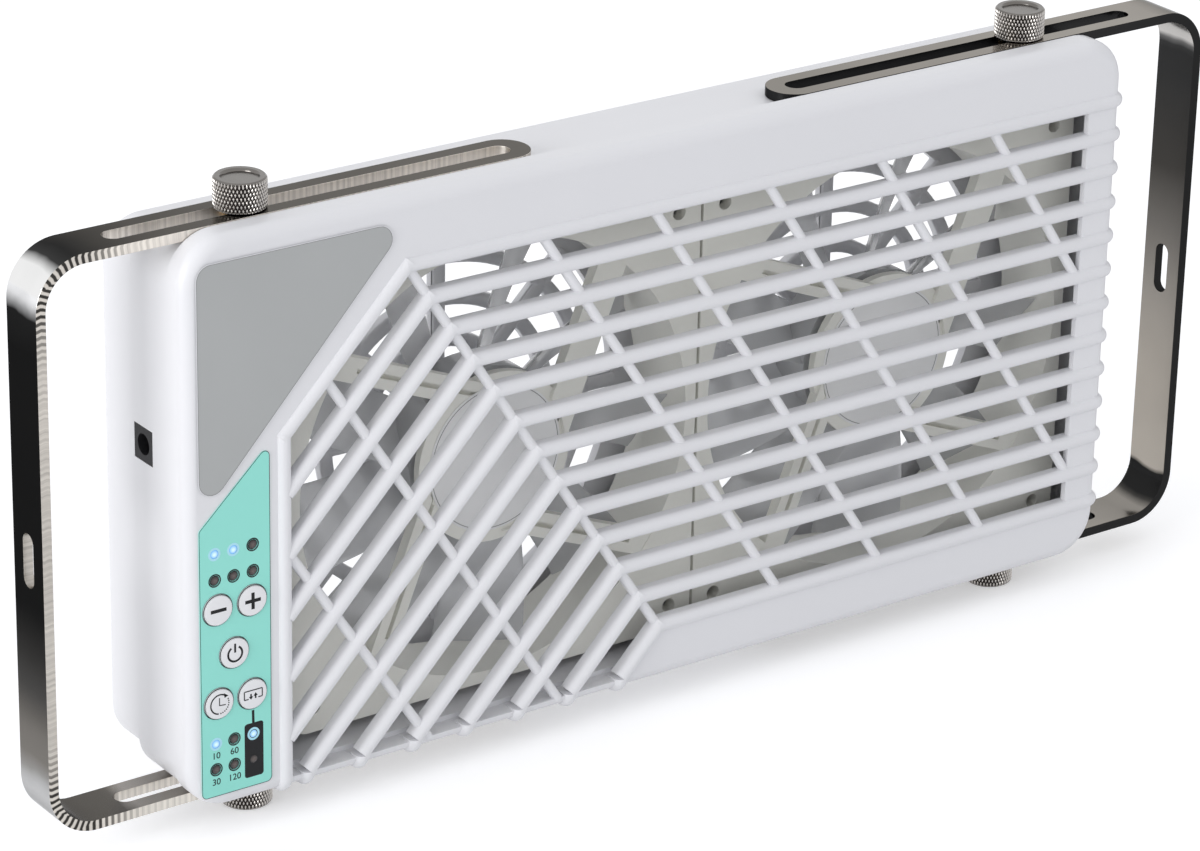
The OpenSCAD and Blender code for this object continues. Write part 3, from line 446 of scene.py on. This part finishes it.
def guard_spoke(x, k):
    """Straight bar with the half-round section, from the middle disc to the rim, at k eighths of a turn."""
    u, y = np.array(bar_profile).T
    r = np.array(spoke_ends)[:, None]
    a = 2 * np.pi * k / spokes
    across, up = r * np.cos(a) - u * np.sin(a), r * np.sin(a) + u * np.cos(a)
    points = np.stack([x + across, y + 0 * r, fan_z + up], -1)
    n = len(u)
    return points.reshape(-1, 3), grid_faces(2, n) + [list(range(n)), list(range(n, 2 * n))]


for side, x in fan_x.items():
    bars = [turned([(r + u, y) for u, y in bar_profile + bar_profile[:1]], x, fan_z, 96) for r in ring_radii]
    bars += [guard_spoke(x, k) for k in range(spokes)]
    new_piece(side + "_guard_rounds", joined(*bars), white_abs, "casing")

# Push buttons: white plastic caps with a softly rounded rim, black figures printed on top, a collar inside
# and a stem that reaches the switch.
cap_white = finish("cap_white", (0.84, 0.84, 0.86), (0.82, 0.82, 0.84), 0.3, 1800.0, 0.03)
cap_r = 4.6
cap_round = 0.5
cap_top = face_y - 0.9
ink_y = cap_top - 0.02
edge = np.radians(np.linspace(90, 0, 7))
cap_profile = [(0, cap_top)]
cap_profile += [(cap_r - cap_round + cap_round * np.cos(a), cap_top + cap_round - cap_round * np.sin(a))
                for a in edge]
cap_profile += [(cap_r, face_y + 2.3), (5.2, face_y + 2.3), (5.2, face_y + 3.1), (2, face_y + 3.1),
                (2, face_y + 4.5), (0, face_y + 4.5)]


def button_print(kind, x, z):
    """Black ink on one cap: a ring at its rim, and bars, arcs, dots or arrows centred on it."""
    top, low = ink_y, cap_top + 0.02
    rim = ((4.35, 0.06), (4.6, 0.3), (4.62, 0.34), (4.62, 0.5), (4.3, 0.3), (4.35, 0.06))
    drawn = [turned([(r, cap_top + y) for r, y in rim], x, z)]
    if kind in ("minus", "plus"):
        drawn.append(stroke([(x - 2.5, z), (x + 2.5, z)], 1.05, top, low))
    if kind == "plus":
        drawn += [stroke([(x, z + u), (x, z + v)], 1.05, top, low) for u, v in ((-2.5, -0.5), (0.5, 2.5))]
    if kind == "power":
        drawn.append(stroke(arc(x, z - 0.2, 2.25, 122, 418), 0.62, top, low))
        drawn.append(stroke([(x, z + 0.2), (x, z + 2.9)], 0.62, top, low))
    if kind == "timer":
        drawn += [disc(u, v, 0.22, top, low, 10) for u, v in arc(x, z, 2.9, -84, 22, 9)]
        drawn.append(stroke(arc(x, z, 2.9, 48, 262), 0.42, top, low))
        drawn.append(plate([(x + 1.3, z + 3.05), (x + 1.55, z + 1.55), (x + 2.75, z + 2.05)], top, low))
        drawn.append(stroke([(x - 0.1, z + 1.9), (x - 0.1, z - 0.35)], 0.3, top, low))
        drawn.append(stroke([(x - 0.2, z - 0.35), (x + 1.9, z - 0.55)], 0.3, top, low))
    if kind == "airflow":
        frame_line = [(x - 1.5, z - 1.2), (x - 2.9, z - 1.2), (x - 2.9, z + 1.3), (x + 2.9, z + 1.3),
                      (x + 2.9, z - 1.2), (x + 1.6, z - 1.2)]
        drawn += [stroke(frame_line[i:i + 2], 0.34, top, low) for i in range(5)]
        mid = z - 0.55
        for u, way in ((x - 0.75, -1), (x + 0.75, 1)):
            drawn.append(stroke([(u, mid - way * 0.8), (u, mid + way * 0.2)], 0.5, top, low))
            drawn.append(plate([(u - 0.68, mid), (u, mid + way * 0.95), (u + 0.68, mid)], top, low))
    return drawn


for kind in ("minus", "plus", "power", "timer", "airflow"):
    x, _, z = middle(kind + "_button")
    new_piece(kind + "_cap", turned(cap_profile, x, z), cap_white, kind + "_button", kind + "_button")
    new_piece(kind + "_figure", joined(*button_print(kind, x, z)), black_ink, kind + "_button")

# Indicator lights: clear light pipes with a low dome in the label. A lit one glows pale blue round a white
# core, an unlit one is smoky brown-grey.
pipe_r = 1.35
pipe_profile = [(0, film_y - 0.22), (0.5, film_y - 0.19), (0.95, film_y - 0.08), (1.25, film_y + 0.03),
                (pipe_r, film_y + 0.15), (pipe_r, face_y + 8), (0, face_y + 8)]


def shades(tree, place, stops):
    """Colour that runs through the stops, each a place from 0 to 1 and a colour."""
    ramp = add(tree, "ShaderNodeValToRGB", {"Fac": place})
    ends = ramp.color_ramp.elements
    ends.remove(ends[-1])
    for i, (at, colour) in enumerate(stops):
        end = ends.new(at) if i else ends[0]
        end.position = at
        end.color = (*colour, 1)
    return ramp.outputs["Color"]


def glow(name, core, rim, strength):
    """Light-pipe finish: the colour runs from core to rim with a point's distance from the pipe's axis."""
    m = bpy.data.materials.new(name)
    m.use_nodes = True
    t = m.node_tree
    across = add(t, "ShaderNodeAttribute", attribute_name="across").outputs["Fac"]
    colour = shades(t, across, ((0.2, core), (0.95, rim)))
    face = t.nodes["Principled BSDF"]
    face.inputs["Roughness"].default_value = 0.18
    face.inputs["Emission Strength"].default_value = strength
    t.links.new(colour, face.inputs["Base Color"])
    if strength:
        t.links.new(colour, face.inputs["Emission Color"])
    return m


def note_points(mesh, title, values):
    """Stores one number for each point of a mesh, which its material reads by the title."""
    mesh.attributes.new(title, "FLOAT", "POINT").data.foreach_set("value", values)


lit = glow("lit_light", (0.62, 0.84, 1.0), (0.13, 0.40, 0.78), 0.3)
unlit = glow("unlit_light", (0.11, 0.085, 0.08), (0.008, 0.007, 0.008), 0.0)
for name, ways in (
    ("speed_lights", ((-156.1, -6.5, 1), (-150.1, -6.5, 1), (-143.9, -6.5, 0), (-156.1, -14.4, 0),
                      (-150.1, -14.4, 0), (-143.9, -14.4, 0))),
    ("timer_lights", ((-156.3, -64.2, 1), (-150.4, -64.2, 0), (-156.3, -72.1, 0), (-150.4, -72.1, 0))),
    ("airflow_lights", ((-144.2, -64.2, 1), (-144.2, -72.1, 0))),
):
    domes = joined(*[turned(pipe_profile, x, z, 28) for x, z, _ in ways])
    piece = new_piece(name + "_domes", domes, unlit, "casing", name)
    piece.data.materials.append(lit)
    axes = np.array([w[:2] for w in ways])
    gap = np.linalg.norm(points_of(piece.data)[:, None, [0, 2]] - axes[None], axis=2)
    note_points(piece.data, "across", np.clip(gap.min(1) / pipe_r, 0, 1))
    state = np.array([w[2] for w in ways])[gap.argmin(1)]
    first = np.array([q.vertices[0] for q in piece.data.polygons])
    piece.data.polygons.foreach_set("material_index", state[first].astype(np.int32))
    piece.data.update()

# Power inlet: black socket in the left wall with a bright centre pin.
# The socket is moulded in nylon, and the pin is turned metal.
black_nylon = finish("black_nylon", (0.012, 0.012, 0.014), (0.02, 0.02, 0.022), 0.5, 1500.0, 0.12,
                     Specular_IOR_Level=0.2)
bright_pin = finish("bright_pin", (0.75, 0.73, 0.68), (0.66, 0.64, 0.6), 0.2, 900.0, 0.02, 1.0)
dress("inlet_body", black_nylon)
dress("inlet_pin", bright_pin)

# Fan frames: square ivory frames with a flat round hub base and four slanted struts.
# They are moulded in a slightly yellow plastic with a soft sheen.
ivory_pbt = finish("ivory_pbt", (0.90, 0.895, 0.84), (0.87, 0.865, 0.80), 0.45, 1500.0, 0.08)
dress("left_fan_frame", ivory_pbt)
dress("right_fan_frame", ivory_pbt)

# Hub stickers: bare round white labels with a fine printed edge, stuck on the hub bases.
# The film has a slightly rounded rim.
sticker_film = finish("sticker_film", (0.90, 0.90, 0.895), (0.88, 0.88, 0.875), 0.45, 2400.0, 0.03)
grey_ink = finish("grey_ink", (0.30, 0.30, 0.30), (0.34, 0.34, 0.34), 0.5, 4000.0, 0.03)
sticker_y = face_y + 13.2
sticker_profile = [(0, sticker_y), (22.3, sticker_y), (22.5, sticker_y + 0.06), (22.5, sticker_y + 0.3),
                   (0, sticker_y + 0.3)]
for side, x in fan_x.items():
    sticker = turned(sticker_profile, x, fan_z, 96)
    new_piece(side + "_sticker", sticker, sticker_film, "casing", side + "_hub_sticker")
    printed = ring(x, fan_z, 21.6, 21.85, sticker_y - 0.02, sticker_y + 0.02, 96)
    new_piece(side + "_sticker_edge", printed, grey_ink, "casing")

# Impellers: smoky translucent mouldings. Nine swept and cambered blades stand on a closed hub with a rounded
# rear edge, and the hub is open at the front for the motor.
smoke = finish("smoke_plastic", (0.80, 0.805, 0.82), (0.74, 0.745, 0.76), 0.25, 1600.0, 0.04,
               Transmission_Weight=0.35, IOR=1.5)
fan_top = face_y + 18.5
hub_low = face_y + 33
blades = 9
blade_root, blade_tip = 25.2, 64.8
blade_depth = 15.6
blade_camber = 1.7
blade_half = 0.9
root_width, tip_width = 15.5, 22
tip_back = 8
blade_middle = 8.1
room_front, room_back = 0.1, 16.4
blade_rows, blade_cols = 16, 28


def blade(x, k):
    """One blade: a thin closed section by radius, whose middle line curves in depth and sweeps back."""
    r = np.linspace(blade_root, blade_tip, blade_rows)[:, None]
    out = (r - blade_root) / (blade_tip - blade_root)
    t = np.linspace(0, 2 * np.pi, blade_cols, endpoint=False)[None]
    s = 0.5 * np.cos(t)
    skin = np.sqrt(np.clip(1 - (2 * s) ** 2, 0.02, 1)) * np.sign(np.sin(t) + 1e-9)
    half = blade_half * skin * (1.05 - 0.35 * out)
    half = np.where(np.abs(np.sin(t)) < 1e-6, 0, half)
    wide = root_width + (tip_width - root_width) * out
    depth = -s * blade_depth + blade_camber * (1 - (2 * s) ** 2)
    tilt = np.arctan2(blade_depth, wide)
    y = fan_top + blade_middle + depth + half * np.cos(tilt)
    y = np.clip(y, fan_top + room_front, fan_top + room_back)
    around = s * wide + half * np.sin(tilt) - tip_back * out ** 1.6
    a = 2 * np.pi * k / blades + around / r
    points = np.stack([x + r * np.cos(a), y, fan_z + r * np.sin(a)], -1)
    last = (blade_rows - 1) * blade_cols
    caps = [list(range(blade_cols)), list(range(last, last + blade_cols))]
    return points.reshape(-1, 3), grid_faces(blade_rows, blade_cols) + caps


rim_arc = np.radians(np.linspace(0, 90, 7))
hub_profile = [(23, fan_top), (26, fan_top)]
hub_profile += [(24.5 + 1.5 * np.cos(a), hub_low - 1.5 + 1.5 * np.sin(a)) for a in rim_arc]
hub_profile += [(1.5, hub_low), (1.5, hub_low - 1.5), (23, hub_low - 1.5), (23, fan_top)]
for side, x in fan_x.items():
    impeller = joined(turned(hub_profile, x, fan_z, 72), *[blade(x, k) for k in range(blades)])
    new_piece(side + "_blades", impeller, smoke, side + "_rotor", side + "_impeller")

# Motors: a deep-drawn steel cup with a ring magnet turns on a polished shaft in two bearings, round a
# laminated core with copper coils. The motor board sits under the hub base.
cup_steel = finish("cup_steel", (0.52, 0.53, 0.54), (0.44, 0.45, 0.46), 0.32, 500.0, 0.05, 1.0)
magnet_black = finish("magnet_black", (0.035, 0.034, 0.034), (0.05, 0.048, 0.046), 0.6, 900.0, 0.2)
shaft_steel = finish("shaft_steel", (0.72, 0.73, 0.74), (0.66, 0.67, 0.68), 0.12, 2400.0, 0.01, 1.0)
core_steel = finish("core_steel", (0.30, 0.30, 0.31), (0.22, 0.22, 0.23), 0.45, 2600.0, 0.3, 1.0)
coil_copper = finish("coil_copper", (0.72, 0.30, 0.13), (0.52, 0.20, 0.08), 0.3, 3000.0, 0.5, 1.0)
motor_green = finish("motor_green", (0.03, 0.19, 0.09), (0.02, 0.13, 0.06), 0.4, 1200.0, 0.08)
for side in fan_x:
    dress(side + "_rotor_cup", cup_steel)
    dress(side + "_rotor_magnet", magnet_black)
    dress(side + "_shaft", shaft_steel)
    dress(side + "_shaft_clip", core_steel)
    dress(side + "_bearings", shaft_steel)
    dress(side + "_stator_core", core_steel)
    dress(side + "_stator_coils", coil_copper)
    dress(side + "_motor_board", motor_green)

# Control board: green board behind the label, with its switches, infrared receiver and lead sockets.
# The parts on it are moulded in black nylon.
board_green = finish("board_green", (0.03, 0.22, 0.10), (0.02, 0.15, 0.07), 0.35, 1200.0, 0.08)
dress("control_board", board_green)
dress("tact_switches", black_nylon)
dress("remote_receiver", black_nylon)

# Leads: round black sleeved leads from the two fans and from the inlet to the board.
# Those of the fans run along the top of the casing, one behind the other.
sleeve = finish("lead_sleeve", (0.03, 0.03, 0.032), (0.045, 0.045, 0.048), 0.5, 1800.0, 0.2)
lead_r = 1.3
lead_rows, lead_cols = 90, 10


def lead_run(path):
    """Round tube: circles square to a smooth line through the given points (x, depth, z)."""
    p = np.asarray(path, float)
    s = np.concatenate([[0], np.cumsum(np.linalg.norm(np.diff(p, axis=0), axis=1))])
    t = np.linspace(0, s[-1], lead_rows)
    line = np.stack([np.interp(t, s, p[:, i]) for i in range(3)], -1)
    for _ in range(3):
        line[1:-1] = 0.25 * line[:-2] + 0.5 * line[1:-1] + 0.25 * line[2:]
    d = np.gradient(line, axis=0)
    d /= np.linalg.norm(d, axis=1)[:, None]
    side = np.cross(d, (0.0, 1.0, 0.0))
    side /= np.linalg.norm(side, axis=1)[:, None]
    up = np.cross(side, d)
    a = np.linspace(0, 2 * np.pi, lead_cols, endpoint=False)
    round_it = lead_r * (np.cos(a)[None, :, None] * side[:, None] + np.sin(a)[None, :, None] * up[:, None])
    points = (line[:, None] + round_it).reshape(-1, 3)
    points[:, 1] += face_y
    last = (lead_rows - 1) * lead_cols
    caps = [list(range(lead_cols)), list(range(last, last + lead_cols))]
    return points, grid_faces(lead_rows, lead_cols) + caps


left_run = [(-35, 15, -3.6), (-32.8, 15, 2), (-9.5, 14.4, 59.4), (-7.4, 14.4, 64.6), (-9, 14.4, 66.2),
            (-13, 14.4, 66.2), (-126, 14.4, 66.2), (-141, 14.4, 51), (-144.3, 14.4, 44), (-144.3, 12.2, 20),
            (-144.3, 12.2, 6)]
right_run = [(106, 15, -3.6), (108.2, 15, 2), (131.5, 14.4, 59.4), (133.6, 14.4, 64.6), (132, 15, 66.2),
             (126, 18.4, 66.2), (-122, 18.4, 66.2), (-136, 18.4, 52), (-139.1, 14.4, 42), (-139.1, 12.2, 20),
             (-139.1, 12.2, 6)]
inlet_run = [(-154, 21.5, 20.3), (-152.6, 21.5, 20.3), (-150.8, 20.5, 18.5), (-150, 17, 14.5),
             (-150, 13.2, 11), (-150, 12.2, 8.8), (-150, 12.2, 6)]
new_piece("left_sleeve", lead_run(left_run), sleeve, "casing", "left_fan_lead")
new_piece("right_sleeve", lead_run(right_run), sleeve, "casing", "right_fan_lead")
new_piece("inlet_sleeve", lead_run(inlet_run), sleeve, "casing", "inlet_lead")

# Inner screws and inserts: zinc screws hold the board, the fans and the two shells, and brass inserts take
# the thumb screws.
zinc = finish("zinc", (0.55, 0.56, 0.57), (0.45, 0.46, 0.48), 0.35, 900.0, 0.1, 1.0)
brass = finish("brass", (0.72, 0.50, 0.20), (0.60, 0.40, 0.15), 0.3, 900.0, 0.1, 1.0)
dress("board_screws", zinc)
dress("case_screws", zinc)
dress("fan_screws", zinc)
dress("thread_inserts", brass)

# Brackets: polished stainless strip, bent to a U and slotted, held by the thumb screws. Their colour is
# painted
# reflection: the outside dark and bright by turns, with painted highlights in the bends, the inside a soft
# grey, and the sawn edges striped across. Places along the strip count from the web's middle, up and down: a
# bend begins at 70.2, its arm at 91.4, its tip is at 237.
strip_reach = 240
bend_out = 15
bend_r = 13.5
web_x = -span("left_bracket")[0][0] - bend_out
bend_z = span("left_bracket")[1][2] - bend_out
arm_at = round(bend_z + bend_r * np.pi / 2, 1)
tooth_pitch = 0.00195
smudge_size = 26.0


def remap(tree, value, low, high, to_low=0.0, to_high=1.0):
    """Value carried from one range to another, and held at its ends."""
    ranges = {"Value": value, "From Min": low, "From Max": high, "To Min": to_low, "To Max": to_high}
    return add(tree, "ShaderNodeMapRange", ranges).outputs[0]


def strip_reflection_paint(name, stops, rough, teeth=0.0):
    """Steel whose colour is painted reflection, running through the stops (place in mm, colour), moved and
    shaded by soft smudges.

    With teeth, the surface has fine marks across it, and regular saw teeth of the given strength round the
    bends, an eighth as strong away from them. The teeth also darken the colour in their hollows as painted
    shade, and lighten it on their tops as painted highlight.
    """
    m = bpy.data.materials.new(name)
    m.use_nodes = True
    t = m.node_tree
    along = add(t, "ShaderNodeAttribute", attribute_name="along").outputs["Fac"]
    spot = add(t, "ShaderNodeTexCoord").outputs["Object"]
    smudges = add(t, "ShaderNodeTexNoise", {"Vector": spot, "Scale": smudge_size, "Detail": 4.0})
    smudge = smudges.outputs["Fac"]
    moved = maths(t, "ADD", along, maths(t, "MULTIPLY_ADD", smudge, 12 * mm, -6 * mm))
    place = remap(t, moved, -strip_reach * mm, strip_reach * mm)
    ramp = shades(t, place, [((run + strip_reach) / (2 * strip_reach), shade) for run, shade in stops])
    smudged = {"Factor": 1.0, "A": ramp, "B": remap(t, smudge, 0.0, 1.0, 0.8, 1.2)}
    colour = add(t, "ShaderNodeMix", smudged, data_type="RGBA", blend_type="MULTIPLY").outputs["Result"]
    face = t.nodes["Principled BSDF"]
    face.inputs["Metallic"].default_value = 1.0
    face.inputs["Specular Tint"].default_value = (0.5, 0.5, 0.5, 1)
    face.inputs["Roughness"].default_value = rough
    if teeth:
        wave = maths(t, "SINE", maths(t, "MULTIPLY", along, 2 * np.pi / tooth_pitch))
        marks = {"W": along, "Scale": 900.0, "Detail": 2.0}
        mark = add(t, "ShaderNodeTexNoise", marks, noise_dimensions="1D")
        mid_bend = (bend_z + arm_at) / 2 * mm
        from_bend = maths(t, "ABSOLUTE", maths(t, "SUBTRACT", maths(t, "ABSOLUTE", along), mid_bend))
        cuts_and_shade = add(t, "ShaderNodeMix", {
            "Factor": remap(t, from_bend, 11 * mm, 26 * mm, teeth, 0.12 * teeth),
            "A": remap(t, mark.outputs["Fac"], 0.35, 0.6, 0.86, 1.05),
            "B": remap(t, wave, -0.4, 0.4, 0.08, 1.15),
        }).outputs["Result"]
        ridge = add(t, "ShaderNodeBump", {"Height": cuts_and_shade, "Strength": 0.4, "Distance": 0.0003})
        t.links.new(ridge.outputs["Normal"], face.inputs["Normal"])
        # The teeth's height also scales the colour: painted shade in their hollows, painted highlight on
        # their tops.
        colour = add(t, "ShaderNodeMix", {"Factor": 1.0, "A": colour, "B": cuts_and_shade}, data_type="RGBA",
                     blend_type="MULTIPLY").outputs["Result"]
    t.links.new(colour, face.inputs["Base Color"])
    return m


def grey(v, warm=0.0):
    """A linear grey, a little warmer if asked."""
    return (v, v * (1 - 0.06 * warm), v * (1 - 0.14 * warm))


# Each list of stops is painted reflection along the strip: dark and bright by turns, with painted highlights
# at the bends.
left_outer = strip_reflection_paint("left_outer", (
    (-237, grey(0.35, 1)), (-91, grey(0.74)), (-80, grey(0.72)), (-72, grey(0.62)), (-68, grey(0.46)),
    (-65.5, grey(0.3, 0.5)), (-62, grey(0.21, 1)), (-55, grey(0.19, 1)), (-49, grey(0.13, 1)),
    (-42, grey(0.07, 0.5)), (-31, grey(0.035, 0.5)), (-18, grey(0.011)), (60, grey(0.010)), (70, grey(0.016)),
    (73, grey(0.6)), (75, grey(0.88)), (81, grey(0.88)), (84, grey(0.05)), (88, grey(0.03)),
    (97, grey(0.07, 1)), (112, grey(0.12, 1)), (140, grey(0.15, 1)), (237, grey(0.19, 1))), 0.14)
left_inner = strip_reflection_paint("left_inner", (
    (-237, grey(0.4, 1)), (-112, grey(0.46, 1)), (-107, grey(0.45, 1)), (-103, grey(0.14, 1)),
    (-91, grey(0.12, 1)), (-70, grey(0.13, 1)), (0, grey(0.2, 1)), (70, grey(0.25, 1)), (91, grey(0.4, 1)),
    (237, grey(0.4, 1))), 0.22)
right_outer = strip_reflection_paint("right_outer", (
    (-237, grey(0.2, 1)), (-91, grey(0.3, 1)), (-70, grey(0.1, 1)), (0, grey(0.08, 1)), (70, grey(0.1, 1)),
    (88, grey(0.32, 1)), (96, grey(0.46, 1)), (140, grey(0.46, 1)), (190, grey(0.42, 1)),
    (237, grey(0.36, 1))), 0.16)
right_inner = strip_reflection_paint("right_inner", (
    (-237, grey(0.36, 1)), (-110, grey(0.36, 1)), (-94, grey(0.3, 1)), (-86, grey(0.26, 1)),
    (-82, grey(0.02)), (-71, grey(0.018)), (-69.5, grey(0.4, 1.4)), (-40, grey(0.36, 1.4)),
    (-10, grey(0.25, 1.2)), (10, grey(0.14, 1)), (30, grey(0.05, 1)), (60, grey(0.032)), (69, grey(0.03)),
    (71, grey(0.08)), (73, grey(0.55, 0.5)), (80, grey(0.62, 0.5)), (91, grey(0.5, 0.5)),
    (237, grey(0.4, 1))), 0.2)
left_edge = strip_reflection_paint("left_edge", (
    (-237, grey(0.75, 1)), (-100, grey(0.7, 1)), (-90, grey(0.52, 1)), (90, grey(0.52, 1)),
    (100, grey(0.75, 1)), (237, grey(0.85, 1))), 0.35, 1.0)
right_edge = strip_reflection_paint("right_edge", ((-237, grey(0.03)), (0, grey(0.018)), (237, grey(0.03))), 0.25)


def strip_copy(side, outer, inner, edge_skin):
    """Bracket from its solid's own faces: flat ones joined, and each sorted by which way it looks."""
    mesh = node[side + "_bracket"].data.copy()
    mesh.materials.clear()
    for surface in (outer, inner, edge_skin):
        mesh.materials.append(surface)
    b = bmesh.new()
    b.from_mesh(mesh)
    bmesh.ops.remove_doubles(b, verts=b.verts, dist=least_gap)
    bmesh.ops.dissolve_limit(b, angle_limit=0.01, verts=b.verts, edges=b.edges)
    for f in b.faces:
        c = f.calc_center_median() / mm
        u, v = max(abs(c.x) - web_x, 0.0), max(abs(c.z) - bend_z, 0.0)
        outward = f.normal.x * np.copysign(u, c.x) + f.normal.z * np.copysign(v, c.z)
        f.material_index = 2 if abs(f.normal.y) > 0.5 or abs(outward) < 1 else int(outward < 0)
        f.smooth = True
    b.to_mesh(mesh)
    b.free()
    p = points_of(mesh)
    u, v = np.abs(p[:, 0]) - web_x, np.abs(p[:, 2]) - bend_z
    bend = bend_r * np.arctan2(np.maximum(u, 0), np.maximum(v, 0) + 1e-9)
    along = np.sign(p[:, 2] + 1e-9) * (arm_at - (np.minimum(u, 0) + bend - np.minimum(v, 0)))
    note_points(mesh, "along", along * mm)
    mesh.set_sharp_from_angle(angle=crease)
    piece = bpy.data.objects.new(side + "_strip", mesh)
    bpy.context.scene.collection.objects.link(piece)
    soft = piece.modifiers.new("worn_edges", "BEVEL")
    soft.width = 0.00022
    soft.segments = 2
    soft.limit_method = "ANGLE"
    soft.angle_limit = 0.8
    soft.harden_normals = True
    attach(piece, side + "_bracket")
    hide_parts(side + "_bracket")


strip_copy("left", left_outer, left_inner, left_edge)
strip_copy("right", right_outer, right_inner, right_edge)

# Thumb screws: turned heads with a crossed diamond knurl, a chamfer and a dished top, on a threaded shank.
# The knurl's grooves are darkened with painted shade, and its tops are bright by wear and painted highlight.
head_steel = finish("head_steel", (0.22, 0.21, 0.20), (0.13, 0.12, 0.11), 0.2, 700.0, 0.05, 1.0, size=90.0)
knurl_steel = finish("knurl_steel", (0.5, 0.49, 0.48), (0.42, 0.41, 0.40), 0.25, 1200.0, 0.05, 1.0)
knurl = knurl_steel.node_tree
raised = add(knurl, "ShaderNodeAttribute", attribute_name="raised").outputs["Fac"]
# Painted shade darkens the knurl's grooves; its tops are lighter by wear and by painted highlight.
wear_and_groove_shade = shades(knurl, raised, ((0.25, (0.05, 0.045, 0.04)), (0.85, (1.2, 1.17, 1.14))))
rubbed_and_shaded = add(knurl, "ShaderNodeMix", {"Factor": 1.0, "A": knurl.nodes["skin"].outputs["Colour"], "B": wear_and_groove_shade},
             data_type="RGBA", blend_type="MULTIPLY")
knurl.links.new(rubbed_and_shaded.outputs["Result"], knurl.nodes["Principled BSDF"].inputs["Base Color"])
head_high = 9
head_z = span("top_left_screw")[1][2] - head_high
screw_y = middle("top_left_screw")[1]
head_r = 7.5
groove = 0.6
groove_edge = 0.75
knurl_starts = 22
knurl_lean = 1.4
shank_r = 2.95
thread_pitch = 0.75
head_steps = 352
grip_rows, thread_rows = 43, 20


def thumb_head(x, sign):
    """Head and shank: radius by height, less two crossed sets of helical grooves on the grip and a thread.

    A groove is deepest where the sine of knurl_starts times the angle, plus or less knurl_lean times the
    height, is nought.
    """
    a = np.linspace(0, 2 * np.pi, head_steps, endpoint=False)[None]
    r = [0, shank_r] + [shank_r] * thread_rows + [shank_r, 6.9, 7.3] + [head_r] * grip_rows
    h = [-7.6, -7.6, *np.linspace(-7.4, -0.3, thread_rows), 0, 0, 0.35, *np.linspace(0.7, 8.3, grip_rows)]
    r = np.array(r + [7.3, 6.9, 5.6, 5.3, 5.1, 0])[:, None]
    z = np.array(h + [8.65, head_high, head_high, 8.75, 8.2, 8.2])[:, None]
    crossed = [np.abs(np.sin(knurl_starts * a + way * z)) for way in (knurl_lean, -knurl_lean)]
    grip = ((r > 7.4) & (z > 0.5) & (z < 8.5)).astype(float)
    thread = ((r > 2.9) & (r < 3) & (z > -7.5) & (z < -0.2)).astype(float)
    knurl_cut = groove * grip * np.clip(1 - np.minimum(*crossed) / groove_edge, 0, 1)
    thread_cut = 0.1 * thread * (1 + np.sin(2 * np.pi * z / thread_pitch + a))
    radius = r - (knurl_cut + thread_cut)
    height = np.repeat(z, head_steps, 1)
    points = np.stack([x + radius * np.cos(a), screw_y + radius * np.sin(a), sign * (head_z + height)], -1)
    return points.reshape(-1, 3), grid_faces(len(r), head_steps)


for name in ("top_left", "top_right", "bottom_left", "bottom_right"):
    x, _, z = middle(name + "_screw")
    shape = thumb_head(x, np.sign(z))
    piece = new_piece(name + "_thumb_screw", shape, knurl_steel, name + "_screw", name + "_screw")
    piece.data.materials.append(head_steel)
    p = points_of(piece.data)
    away = np.hypot(p[:, 0] - x, p[:, 1] - screw_y)
    raised_by = np.where(away > 6.6, np.clip((away - head_r + groove) / groove, 0, 1), 0.7)
    note_points(piece.data, "raised", raised_by)
    c = np.array([q.center for q in piece.data.polygons], float) / mm
    on_top = (abs(c[:, 2]) > 93) & (np.hypot(c[:, 0] - x, c[:, 1] - screw_y) < 7.1)
    piece.data.polygons.foreach_set("material_index", on_top.astype(np.int32))
    piece.data.update()
